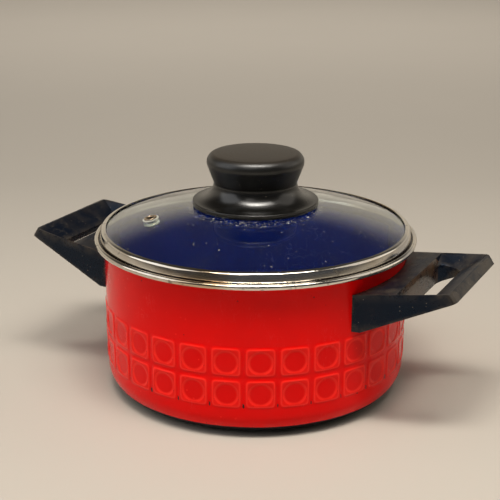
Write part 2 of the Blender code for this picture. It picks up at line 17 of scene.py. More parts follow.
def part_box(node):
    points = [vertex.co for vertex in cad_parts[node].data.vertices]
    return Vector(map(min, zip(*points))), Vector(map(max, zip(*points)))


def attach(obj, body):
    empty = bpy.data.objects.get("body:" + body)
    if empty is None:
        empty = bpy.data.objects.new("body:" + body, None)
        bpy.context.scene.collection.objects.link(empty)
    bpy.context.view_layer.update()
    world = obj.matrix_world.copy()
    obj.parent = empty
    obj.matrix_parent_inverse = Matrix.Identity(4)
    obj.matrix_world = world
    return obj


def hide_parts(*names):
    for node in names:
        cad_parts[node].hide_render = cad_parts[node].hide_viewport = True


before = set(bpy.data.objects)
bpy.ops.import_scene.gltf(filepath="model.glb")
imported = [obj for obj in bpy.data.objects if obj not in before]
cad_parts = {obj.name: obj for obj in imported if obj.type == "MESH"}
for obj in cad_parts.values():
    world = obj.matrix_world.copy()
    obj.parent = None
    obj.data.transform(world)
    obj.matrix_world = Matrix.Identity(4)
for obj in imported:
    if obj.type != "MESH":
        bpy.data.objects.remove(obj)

LOG = logging.getLogger("enamel_pot")
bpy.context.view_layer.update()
WELD = 0.00001
ON_AXIS = 0.000001
TOUCH_GAP = 0.0003

Point = tuple[float, float]
Colour = tuple[float, float, float]


class Side(Enum):
    """The side of the pot that a handle is on, with its turn about the pot's axis."""

    RIGHT = 0.0
    LEFT = 180.0


class Body(Enum):
    """The bodies that pieces ride on."""

    POT = "pot"
    LID = "lid"


# ---------------------------------------------------------------- node trees

class Signal:
    """A node's output that takes part in Python arithmetic."""

    def __init__(self, bench: "Bench", socket: bpy.types.NodeSocket) -> None:
        """Wrap one output."""
        self.bench = bench
        self.socket = socket

    def maths(self, operation: str, left: Any, right: Any) -> "Signal":
        """One Math node.

        Args:
            operation: the node's operation.
            left: first value or signal.
            right: second value or signal.

        Returns:
            The node's output.
        """
        return self.bench.node("ShaderNodeMath", {"operation": operation}, {0: left, 1: right})

    def __add__(self, other: Any) -> "Signal":
        """Sum."""
        return self.maths("ADD", self, other)

    def __radd__(self, other: Any) -> "Signal":
        """Sum with a number on the left."""
        return self.maths("ADD", other, self)

    def __sub__(self, other: Any) -> "Signal":
        """Difference."""
        return self.maths("SUBTRACT", self, other)

    def __rsub__(self, other: Any) -> "Signal":
        """Difference with a number on the left."""
        return self.maths("SUBTRACT", other, self)

    def __mul__(self, other: Any) -> "Signal":
        """Product."""
        return self.maths("MULTIPLY", self, other)

    def __rmul__(self, other: Any) -> "Signal":
        """Product with a number on the left."""
        return self.maths("MULTIPLY", other, self)

    def __truediv__(self, other: Any) -> "Signal":
        """Quotient."""
        return self.maths("DIVIDE", self, other)

    def __mod__(self, other: Any) -> "Signal":
        """Remainder that is never negative."""
        return self.maths("FLOORED_MODULO", self, other)


class Bench:
    """Makes the nodes of one tree."""

    def __init__(self, tree: bpy.types.NodeTree) -> None:
        """Work in one tree."""
        self.tree = tree

    def node(self, kind: str, settings: dict[str, Any] | None = None,
             inputs: dict[Any, Any] | None = None, output: Any = 0) -> Signal:
        """One node of any kind.

        Args:
            kind: the node's type.
            settings: its own settings.
            inputs: values or signals by socket name or number.
            output: name or number of the output wanted.

        Returns:
            That output.
        """
        made = self.tree.nodes.new(kind)
        for name, value in (settings or {}).items():
            setattr(made, name, value)
        for name, value in (inputs or {}).items():
            if isinstance(value, Signal):
                self.tree.links.new(value.socket, made.inputs[name])
            else:
                made.inputs[name].default_value = value
        return Signal(self, made.outputs[output] if len(made.outputs) else made.inputs[0])

    def position(self) -> Signal:
        """The surface point in the piece's own metres."""
        return self.node("ShaderNodeTexCoord", output="Object")

    def split(self, vector: Signal) -> tuple[Signal, Signal, Signal]:
        """The three numbers of a vector.

        Args:
            vector: the vector.

        Returns:
            Its x, y and z.
        """
        parts = self.node("ShaderNodeSeparateXYZ", None, {0: vector}).socket.node
        return tuple(Signal(self, parts.outputs[i]) for i in range(3))

    def cylinder(self, vector: Signal, spread: float) -> Signal:
        """A point as (angle times a spread, distance from the axis, height).

        Args:
            vector: the point.
            spread: what the angle is multiplied by.

        Returns:
            The vector.
        """
        x, y, z = self.split(vector)
        distance = (x * x + y * y).maths("POWER", x * x + y * y, 0.5)
        return self.node("ShaderNodeCombineXYZ", None,
                         {0: x.maths("ARCTAN2", y, x) * spread, 1: distance, 2: z})

    def noise(self, vector: Signal, scale: float, detail: float = 3.0, roughness: float = 0.55,
              distortion: float = 0.0) -> Signal:
        """Noise from 0 to 1.

        Args:
            vector: where it is read.
            scale: how fine it is.
            detail: how many finer layers it has.
            roughness: how strong those layers are.
            distortion: how far it is bent.

        Returns:
            The noise.
        """
        return self.node("ShaderNodeTexNoise", None, {
            "Vector": vector, "Scale": scale, "Detail": detail, "Roughness": roughness,
            "Distortion": distortion})

    def scaled(self, vector: Signal, scale: Colour) -> Signal:
        """A vector stretched along its axes."""
        return self.node("ShaderNodeVectorMath", {"operation": "MULTIPLY"}, {0: vector, 1: scale})

    def step(self, value: Signal, low: float, high: float) -> Signal:
        """0 below low and 1 above high, with a smooth rise between; high may be the lower one.

        Args:
            value: the signal.
            low: where the rise starts.
            high: where it ends.

        Returns:
            The stepped signal.
        """
        return self.node("ShaderNodeMapRange", {"interpolation_type": "SMOOTHSTEP"}, {
            "Value": value, "From Min": low, "From Max": high, "To Min": 0.0, "To Max": 1.0})

    def blend(self, share: Any, first: Any, second: Any) -> Signal:
        """A mix of two colours.

        Args:
            share: how much of the second colour, 0 to 1.
            first: a colour or a signal.
            second: a colour or a signal.

        Returns:
            The mixed colour.
        """
        first, second = ((*c, 1.0) if isinstance(c, tuple) else c for c in (first, second))
        return self.node("ShaderNodeMix", {"data_type": "RGBA"}, {0: share, 6: first, 7: second},
                         output=2)

    def attribute(self, name: str) -> Signal:
        """A number stored on the piece's vertices."""
        return self.node("ShaderNodeAttribute", {"attribute_name": name}, output="Fac")

    def specks(self, vector: Signal, scale: float, size: float) -> Signal:
        """Scattered small spots, 1 inside a spot.

        Args:
            vector: where they are read.
            scale: how close together the spots lie.
            size: how large a spot is, as a share of their spacing.

        Returns:
            The spots.
        """
        near = self.node("ShaderNodeTexVoronoi", {"feature": "F1"}, {
            "Vector": vector, "Scale": scale, "Randomness": 1.0}, output="Distance")
        patchy = self.noise(vector, scale * 0.31, 2.0)
        return self.step(near, size, size * 0.4) * self.step(patchy, 0.52, 0.60)

    def scratches(self, vector: Signal, stretch: Colour, scale: float, width: float) -> Signal:
        """Fine lines along the axis that is stretched least, 1 on a line.

        Args:
            vector: where they are read.
            stretch: factor along each axis.
            scale: how close together the lines lie.
            width: how wide a line is.

        Returns:
            The lines.
        """
        lines = self.noise(self.scaled(vector, stretch), scale, 2.0, 0.5, 0.4)
        patchy = self.noise(vector, scale * 0.12, 2.0)
        centre = 0.5
        line = self.step((lines - centre).maths("ABSOLUTE", lines - centre, 0.0), width, width * 0.2)
        return line * self.step(patchy, 0.50, 0.62)

    def bumped(self, height: Signal, distance: float, strength: float = 1.0) -> Signal:
        """A surface normal raised by a height."""
        return self.node("ShaderNodeBump", None, {
            "Height": height, "Distance": distance, "Strength": strength})


# ---------------------------------------------------------------- finishes

@dataclass(frozen=True)
class Finish:
    """A named material; each kind paints its own nodes."""

    name: str

    def material(self) -> bpy.types.Material:
        """Make the material.

        Returns:
            A material whose surface is what paint gives.
        """
        made = bpy.data.materials.new(self.name)
        made.use_nodes = True
        made.node_tree.nodes.clear()
        bench = Bench(made.node_tree)
        bench.node("ShaderNodeOutputMaterial", None, {"Surface": self.paint(bench)})
        return made

    def paint(self, bench: Bench) -> Signal:
        """The surface shader.

        Args:
            bench: maker of the material's nodes.

        Returns:
            The shader.
        """
        raise NotImplementedError


@dataclass(frozen=True)
class RedEnamel(Finish):
    """Glossy red outside enamel, lighter on the pressed edges as thin enamel and as a painted highlight,
    black at the foot.
    """

    deep: Colour = (0.70, 0.0006, 0.0004)
    full: Colour = (0.89, 0.0016, 0.0010)
    thin_enamel_and_highlight: Colour = (1.0, 0.034, 0.021)
    foot: Colour = (0.006, 0.006, 0.008)
    chip: Colour = (0.020, 0.010, 0.010)
    foot_height: float = 0.0066
    belt_foot: float = 0.0235
    gloss: float = 0.10

    def paint(self, bench: Bench) -> Signal:
        """The surface shader.

        Args:
            bench: maker of the material's nodes.

        Returns:
            The shader.
        """
        at = bench.position()
        height = bench.split(at)[2]
        edge = bench.attribute("edge")
        disc = bench.attribute("disc")
        chips = bench.attribute("chip")
        cloud = bench.noise(at, 26.0, 3.0)
        fine = bench.noise(at, 900.0, 2.0)
        red = bench.blend(cloud, self.deep, self.full)
        # pressed crests and round rims lighter: thin enamel and a painted highlight on their slopes
        red = bench.blend(edge * (0.55 + 0.45 * bench.noise(at, 160.0, 2.0)), red, self.thin_enamel_and_highlight)
        red = bench.blend(disc * bench.step(cloud, 0.30, 0.75) * 0.75, red, self.deep)
        wear = bench.specks(at, 210.0, 0.16) * 0.5
        red = bench.blend(wear, red, self.thin_enamel_and_highlight)
        low_row = bench.step(height, self.belt_foot + 0.0005, self.belt_foot - 0.0005)
        nick = bench.step(bench.noise(at, 260.0, 3.0) * chips * low_row, 0.26, 0.36)
        dark = bench.specks(at, 120.0, 0.07)
        red = bench.blend(nick.maths("MAXIMUM", nick, dark), red, self.chip)
        wavy = self.foot_height + (bench.noise(at, 60.0, 2.0) - 0.5) * 0.0008
        black = bench.step(height - wavy, 0.0002, -0.0002)
        colour = bench.blend(black, red, self.foot)
        scratch = bench.scratches(at, (1.0, 1.0, 0.25), 420.0, 0.02)
        rough = self.gloss + 0.05 * cloud + 0.20 * scratch + 0.30 * nick + 0.10 * black
        skin = bench.noise(at, 75.0, 2.0) * 0.8 + fine * 0.05 - nick * 0.4
        return bench.node("ShaderNodeBsdfPrincipled", None, {
            "Base Color": colour, "Roughness": rough, "Specular IOR Level": 0.12,
            "Normal": bench.bumped(skin, 0.00025, 0.6)})


@dataclass(frozen=True)
class NavyEnamel(Finish):
    """Glossy dark blue inside enamel with faint clouding and use marks."""

    deep: Colour = (0.0012, 0.0060, 0.065)
    full: Colour = (0.0020, 0.0110, 0.125)
    mark: Colour = (0.020, 0.032, 0.130)
    rim: Colour = (0.012, 0.007, 0.005)
    rim_height: float = 0.0912

    def paint(self, bench: Bench) -> Signal:
        """The surface shader.

        Args:
            bench: maker of the material's nodes.

        Returns:
            The shader.
        """
        at = bench.position()
        cloud = bench.noise(at, 22.0, 4.0)
        marks = bench.scratches(at, (1.0, 1.0, 1.0), 90.0, 0.012)
        colour = bench.blend(marks * 0.22, bench.blend(cloud, self.deep, self.full), self.mark)
        colour = bench.blend(bench.specks(at, 300.0, 0.14), colour, self.mark)
        over = bench.step(bench.split(at)[2] - self.rim_height, -0.0003, 0.0003)
        colour = bench.blend(over, colour, self.rim)
        rough = 0.14 + 0.08 * cloud + 0.15 * marks
        return bench.node("ShaderNodeBsdfPrincipled", None, {
            "Base Color": colour, "Roughness": rough, "Specular IOR Level": 0.35,
            "Normal": bench.bumped(bench.noise(at, 60.0, 2.0), 0.0002, 0.6)})


@dataclass(frozen=True)
class TurnedSteel(Finish):
    """Polished sheet steel with fine lines round the axis and a straw tint where it got hot."""

    clean: Colour = (0.74, 0.70, 0.63)
    straw: Colour = (0.46, 0.31, 0.16)
    blued: Colour = (0.34, 0.36, 0.44)
    stain: Colour = (0.10, 0.075, 0.05)
    tint: float = 0.72
    gloss: float = 0.05

    def paint(self, bench: Bench) -> Signal:
        """The surface shader.

        Args:
            bench: maker of the material's nodes.

        Returns:
            The shader.
        """
        at = bench.position()
        round_axis = bench.cylinder(at, 0.09)
        lines = bench.noise(bench.scaled(round_axis, (0.05, 1.0, 1.0)), 5200.0, 2.0)
        patches = bench.noise(at, 17.0, 3.0)
        colour = bench.blend(bench.step(patches, 0.48, 0.68) * self.tint, self.clean, self.straw)
        colour = bench.blend(bench.step(patches, 0.42, 0.28) * self.tint * 0.8, colour, self.blued)
        stains = bench.step(bench.noise(at, 230.0, 4.0), 0.60, 0.72)
        colour = bench.blend(stains * 0.65, colour, self.stain)
        rough = self.gloss + 0.07 * lines + 0.20 * stains
        return bench.node("ShaderNodeBsdfPrincipled", None, {
            "Base Color": colour, "Roughness": rough, "Metallic": 1.0,
            "Normal": bench.bumped(lines, 0.00002, 0.5)})


@dataclass(frozen=True)
class WornBakelite(Finish):
    """Dark moulded bakelite, dulled by use; browned and dusty on its upward faces as dust and as a painted
    reflection of the warm backdrop, paler on its edges as wear and as a painted highlight, with a painted
    bluish reflection.
    """

    # the blue cast of dark is a painted reflection of a bluish light on the handles' sides
    dark: Colour = (0.0010, 0.0030, 0.0080)
    browning_and_reflection: Colour = (0.0110, 0.0070, 0.0045)
    dust_and_sheen: Colour = (0.052, 0.042, 0.031)
    tan: Colour = (0.060, 0.030, 0.013)
    painted_blue_reflection: Colour = (0.55, 0.72, 1.0)
    gloss: float = 0.20

    def paint(self, bench: Bench) -> Signal:
        """The surface shader.

        Args:
            bench: maker of the material's nodes.

        Returns:
            The shader.
        """
        at = bench.position()
        cloud = bench.noise(at, 55.0, 4.0)
        grain = bench.noise(at, 620.0, 4.0, 0.65)
        wear = bench.attribute("wear")
        dish = bench.attribute("dish")
        # brown patches, stronger on upward faces: browning by use and a painted reflection of the warm
        # backdrop
        colour = bench.blend(bench.step(cloud, 0.40, 0.75) * (0.15 + 0.6 * dish), self.dark, self.browning_and_reflection)
        # upward faces paler and dusty: real dust and a painted reflection of the warm backdrop
        up_dust_and_reflection = dish * bench.step(bench.noise(at, 95.0, 5.0, 0.62), 0.38, 0.78) * 0.75
        colour = bench.blend(up_dust_and_reflection, colour, self.dust_and_sheen)
        colour = bench.blend(dish * bench.step(grain, 0.56, 0.66) * 0.30, colour, self.dust_and_sheen)
        inner = bench.attribute("inner")
        colour = bench.blend(inner * bench.step(cloud, 0.30, 0.62) * 0.9, colour, self.tan)
        # convex edges paler: rubbed wear and a painted highlight along the edges
        rubbed_and_highlight = wear * bench.step(bench.noise(at, 150.0, 3.0), 0.28, 0.62)
        colour = bench.blend(rubbed_and_highlight * 0.8, colour, self.dust_and_sheen)
        dust = bench.specks(at, 420.0, 0.16)
        colour = bench.blend(dust * 0.7, colour, (0.20, 0.17, 0.13))
        scratch = bench.scratches(at, (1.0, 0.3, 1.0), 300.0, 0.025)
        colour = bench.blend(scratch * 0.35, colour, self.dust_and_sheen)
        rough = self.gloss + 0.16 * dish + 0.08 * cloud + 0.08 * grain + 0.15 * scratch
        skin = grain * 0.5 + cloud * 0.5 - scratch * 0.3
        # the specular tint is a painted bluish reflection
        return bench.node("ShaderNodeBsdfPrincipled", None, {
            "Base Color": colour, "Roughness": rough, "Specular IOR Level": 0.24,
            "Specular Tint": (*self.painted_blue_reflection, 1.0), "Normal": bench.bumped(skin, 0.00008, 0.7)})


@dataclass(frozen=True)
class TurnedBakelite(Finish):
    """The knob's bakelite: satin, with faint rings from moulding and a dusty top, browned partly by age
    and partly as a painted reflection of the warm backdrop.
    """

    dark: Colour = (0.0016, 0.0014, 0.0010)
    browning_and_reflection: Colour = (0.021, 0.0145, 0.0085)
    crown_from: float = 0.134
    cap_from: float = 0.124
    gloss: float = 0.17

    def paint(self, bench: Bench) -> Signal:
        """The surface shader.

        Args:
            bench: maker of the material's nodes.

        Returns:
            The shader.
        """
        at = bench.position()
        turned = bench.cylinder(at, 0.03)
        rings = bench.noise(bench.scaled(turned, (0.05, 1.0, 1.0)), 900.0, 3.0)
        cloud = bench.noise(at, 48.0, 4.0)
        grain = bench.noise(at, 800.0, 3.0)
        up = bench.split(bench.node("ShaderNodeNewGeometry", output="Normal"))[2]
        height = bench.split(at)[2]
        # flat marks the crown's upward faces, painted brown partly as age and partly as a painted
        # reflection of the warm backdrop
        flat = bench.step(up, 0.55, 0.98) * bench.step(height, self.crown_from, self.crown_from + 0.002)
        colour = bench.blend(flat * (0.35 + 0.65 * cloud), self.dark, self.browning_and_reflection)
        dust = bench.specks(at, 480.0, 0.15)
        colour = bench.blend(dust * 0.6, colour, (0.22, 0.19, 0.15))
        satin = bench.step(height, self.cap_from, self.cap_from + 0.001)
        rough = self.gloss + 0.10 * satin + 0.08 * flat + 0.08 * rings + 0.06 * cloud
        return bench.node("ShaderNodeBsdfPrincipled", None, {
            "Base Color": colour, "Roughness": rough, "Specular IOR Level": 0.62,
            "Normal": bench.bumped(rings * 0.4 + grain * 0.6, 0.00006, 0.6)})


@dataclass(frozen=True)
class LidGlass(Finish):
    """Clear tempered glass with a faint green body and dust; lamps shine through it."""

    body: Colour = (0.86, 0.91, 0.89)
    dust: Colour = (0.55, 0.52, 0.46)
    index: float = 1.5
    crumb_start: float = 0.0385
    crumb_reach: float = 0.0440

    def paint(self, bench: Bench) -> Signal:
        """The surface shader.

        Args:
            bench: maker of the material's nodes.

        Returns:
            The shader.
        """
        at = bench.position()
        smear = bench.noise(at, 30.0, 4.0)
        specks = bench.specks(at, 260.0, 0.13)
        x, y, _ = bench.split(at)
        by_knob = bench.step(x * x + y * y, self.crumb_reach ** 2, self.crumb_start ** 2)
        crumbs = bench.step(bench.noise(at, 520.0, 4.0, 0.7), 0.57, 0.66) * by_knob
        rough = 0.012 + 0.03 * bench.step(smear, 0.50, 0.80)
        glass = bench.node("ShaderNodeBsdfPrincipled", None, {
            "Base Color": (*self.body, 1.0), "Roughness": rough, "IOR": self.index,
            "Transmission Weight": 1.0,
            "Normal": bench.bumped(bench.noise(at, 16.0, 2.0), 0.0005, 0.35)})
        haze = bench.node("ShaderNodeBsdfPrincipled", None, {
            "Base Color": (*self.dust, 1.0), "Roughness": 0.9})
        film = specks * 0.45 + crumbs * 0.60 + bench.step(smear, 0.45, 0.85) * 0.004
        dust_and_sheen = bench.node("ShaderNodeMixShader", None, {0: film, 1: glass, 2: haze})
        lamp = bench.node("ShaderNodeLightPath", output="Is Shadow Ray")
        clear = bench.node("ShaderNodeBsdfTransparent", None, {"Color": (*self.body, 1.0)})
        return bench.node("ShaderNodeMixShader", None, {0: lamp, 1: dust_and_sheen, 2: clear})


@dataclass(frozen=True)
class Metal(Finish):
    """Plated or plain metal of a fastener, with fine wear."""

    colour: Colour = (0.50, 0.50, 0.48)
    dull: Colour = (0.22, 0.21, 0.19)
    gloss: float = 0.28

    def paint(self, bench: Bench) -> Signal:
        """The surface shader.

        Args:
            bench: maker of the material's nodes.

        Returns:
            The shader.
        """
        at = bench.position()
        cloud = bench.noise(at, 320.0, 4.0)
        lines = bench.noise(bench.scaled(at, (1.0, 1.0, 0.1)), 2600.0, 2.0)
        colour = bench.blend(bench.step(cloud, 0.45, 0.75) * 0.7, self.colour, self.dull)
        return bench.node("ShaderNodeBsdfPrincipled", None, {
            "Base Color": colour, "Roughness": self.gloss + 0.2 * cloud, "Metallic": 1.0,
            "Normal": bench.bumped(lines, 0.00003, 0.6)})


@dataclass(frozen=True)
class Silicone(Finish):
    """Pale translucent-looking silicone, a little yellowed."""

    pale: Colour = (0.46, 0.46, 0.43)
    yellowed: Colour = (0.34, 0.32, 0.26)

    def paint(self, bench: Bench) -> Signal:
        """The surface shader.

        Args:
            bench: maker of the material's nodes.

        Returns:
            The shader.
        """
        at = bench.position()
        cloud = bench.noise(at, 260.0, 4.0)
        return bench.node("ShaderNodeBsdfPrincipled", None, {
            "Base Color": bench.blend(cloud, self.pale, self.yellowed),
            "Roughness": 0.55 + 0.2 * cloud, "Normal": bench.bumped(cloud, 0.00005, 0.5)})


@dataclass(frozen=True)
class Paper(Finish):
    """The plain studio floor."""

    colour: Colour = (0.452, 0.412, 0.358)
    other: Colour = (0.425, 0.389, 0.339)

    def paint(self, bench: Bench) -> Signal:
        """The surface shader.

        Args:
            bench: maker of the material's nodes.

        Returns:
            The shader.
        """
        at = bench.position()
        return bench.node("ShaderNodeBsdfPrincipled", None, {
            "Base Color": bench.blend(bench.noise(at, 2.5, 3.0), self.colour, self.other),
            "Roughness": 0.8})


# ---------------------------------------------------------------- drawing in section

def arc(centre: Point, radii: Point, start: float, end: float, count: int) -> list[Point]:
    """Points on an ellipse.

    Args:
        centre: its middle.
        radii: its two half axes.
        start: first angle in degrees.
        end: last angle in degrees.
        count: number of steps.

    Returns:
        The points, both ends included.
    """
    turns = [math.radians(start + (end - start) * i / count) for i in range(count + 1)]
    return [(centre[0] + radii[0] * math.cos(t), centre[1] + radii[1] * math.sin(t)) for t in turns]


def rounded(corners: Sequence[tuple[float, float, float]], count: int = 5,
            closed: bool = False) -> list[Point]:
    """A section whose corners are rounded.

    Args:
        corners: (x, y, round) of each corner; a round of 0 leaves it sharp.
        count: steps round each corner.
        closed: True where the last corner joins the first.

    Returns:
        The points of the section.
    """
    points: list[Point] = []
    total = len(corners)
    for i, (x, y, size) in enumerate(corners):
        at = Vector((x, y))
        if size <= 0.0 or (not closed and i in (0, total - 1)):
            points.append((x, y))
            continue
        before = Vector(corners[i - 1][:2])
        after = Vector(corners[(i + 1) % total][:2])
        reach = [min(size, (other - at).length * 0.48) for other in (before, after)]
        first = at + (before - at).normalized() * reach[0]
        last = at + (after - at).normalized() * reach[1]
        for k in range(count + 1):
            t = k / count
            spot = first * (1 - t) ** 2 + at * 2 * t * (1 - t) + last * t ** 2
            points.append((spot.x, spot.y))
    return points


def bent_sheet(path: Sequence[Point], thickness: float) -> list[Point]:
    """The closed section of a bent sheet with rounded ends.

    Args:
        path: the middle of the sheet.
        thickness: its thickness.

    Returns:
        The outline, once round.
    """
    points = [Vector(p) for p in path]
    half = thickness / 2
    left, right = [], []
    for i, point in enumerate(points):
        ahead = (points[min(i + 1, len(points) - 1)] - points[max(i - 1, 0)]).normalized()
        across = Vector((-ahead.y, ahead.x)) * half
        left.append(point + across)
        right.append(point - across)
    ends = []
    for point, other in ((points[-1], points[-2]), (points[0], points[1])):
        ends.append(point + (point - other).normalized() * half)
    outline = left + [ends[0]] + right[::-1] + [ends[1]]
    return [(p.x, p.y) for p in outline]


# ---------------------------------------------------------------- making meshes

def turned(profile: Sequence[Point], steps: int, closed: bool = True, start: float = 0.0,
           slot: int = 0, into: bmesh.types.BMesh | None = None) -> bmesh.types.BMesh:
    """A section of (radius, height) turned round the Z axis.

    Args:
        profile: the section.
        steps: steps round the axis.
        closed: True where the section closes on itself.
        start: angle of the first step in radians.
        slot: material slot of the faces.
        into: a shape to add to, or a new one.

    Returns:
        The shape.
    """
    shape = into or bmesh.new()
    angles = [start + 2 * math.pi * i / steps for i in range(steps)]
    rings = []
    for radius, height in profile:
        around = angles[:1] if radius < ON_AXIS else angles
        rings.append([shape.verts.new((radius * math.cos(a), radius * math.sin(a), height))
                      for a in around])
    pairs = list(zip(rings, rings[1:])) + ([(rings[-1], rings[0])] if closed else [])
    for low, high in pairs:
        for i in range(steps):
            j = (i + 1) % steps
            corners = (low[i % len(low)], low[j % len(low)], high[j % len(high)], high[i % len(high)])
            face = shape.faces.new(dict.fromkeys(corners))
            face.material_index = slot
    return shape


def as_piece(name: str, shape: bmesh.types.BMesh, materials: Iterable[bpy.types.Material],
             sharp: float = 38.0, recalculate: bool = True) -> bpy.types.Object:
    """An object in the frame for a finished shape.

    Args:
        name: the piece's name.
        shape: its shape, which is freed.
        materials: its materials in slot order.
        sharp: angle in degrees past which an edge stays sharp.
        recalculate: whether faces are turned outwards.

    Returns:
        The object.
    """
    if recalculate:
        bmesh.ops.recalc_face_normals(shape, faces=shape.faces)
    mesh = bpy.data.meshes.new(name)
    shape.to_mesh(mesh)
    shape.free()
    for material in materials:
        mesh.materials.append(material)
    mesh.shade_smooth()
    mesh.set_sharp_from_angle(angle=math.radians(sharp))
    piece = bpy.data.objects.new(name, mesh)
    bpy.context.scene.collection.objects.link(piece)
    return piece


def settle(piece: bpy.types.Object, body: Body, slot: str, *nodes: str) -> bpy.types.Object:
    """Give a piece its body and hide the nodes that it stands for.

    Args:
        piece: a finished piece.
        body: the body that it rides on.
        slot: the record's material slot; not used.
        nodes: the nodes that it replaces.

    Returns:
        The piece.
    """
    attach(piece, body.value)
    if nodes:
        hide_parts(*nodes)
    LOG.info("%s: %d faces, on %s", piece.name, len(piece.data.polygons), body.value)
    return piece


def dress_nodes(material: bpy.types.Material, *names: str) -> None:
    """Give carried-over nodes a material.

    Args:
        material: the material.
        names: the nodes.
    """
    for name in names:
        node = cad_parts[name]
        node.data.materials.clear()
        node.data.materials.append(material)
        LOG.info("%s: carried over in %s", name, material.name)


def evaluated(item: bpy.types.Object) -> bmesh.types.BMesh:
    """The shape of an object with its modifiers, which are then removed with the object.

    Args:
        item: the object.

    Returns:
        Its finished shape.
    """
    bpy.context.view_layer.update()
    graph = bpy.context.evaluated_depsgraph_get()
    mesh = bpy.data.meshes.new_from_object(item.evaluated_get(graph))
    shape = bmesh.new()
    shape.from_mesh(mesh)
    bpy.data.meshes.remove(mesh)
    bpy.data.objects.remove(item, do_unlink=True)
    return shape


# ---------------------------------------------------------------- pot

@dataclass
class PressedSquare:
    """One pressed square of the belt: a raised square with a sunk round in it."""

    half_width: float = 0.0081
    half_height: float = 0.0080
    lift: float = 0.00042
    sink: float = 0.00050
    round_radius: float = 0.0070
    round_drop: float = 0.0003
    slope: float = 0.00040
    squareness: float = 9.0

    def loops(self) -> list[tuple[float, float, float, float, float, float, float]]:
        """Loops from the foot of the square to the middle of the round.

        Returns:
            (half width, half height, squareness, drop, lift, edge, disc) of each loop.
        """
        wide, high, slope = self.half_width, self.half_height, self.slope
        square, lift, low = self.squareness, self.lift, self.lift - self.sink
        radius, drop = self.round_radius, self.round_drop
        # the edge number marks the crests and round rims that the finish paints lighter, as thin enamel
        # and as a painted highlight
        loops = [(wide + slope * 0.7, high + slope * 0.7, square, 0.0, 0.0, 0.0, 0.0),
                 (wide, high, square, 0.0, lift * 0.5, 0.5, 0.0),
                 (wide - slope, high - slope, square, 0.0, lift, 1.0, 0.0),
                 (wide - slope * 2, high - slope * 2, square, 0.0, lift * 0.97, 0.6, 0.0),
                 (wide - slope * 3.2, high - slope * 3.2, square, 0.0, lift * 0.94, 0.2, 0.0)]
        for reach, level, edge, disc in ((slope, lift * 0.94, 0.2, 0.0), (0.0, lift * 0.70, 0.9, 0.1),
                                         (-slope * 1.8, low, 0.8, 0.4), (-slope * 4.2, low, 0.0, 1.0),
                                         (-radius * 0.65, low * 0.6, 0.0, 1.0)):
            loops.append((radius + reach, radius + reach, 2.0, drop, level, edge, disc))
        return loops


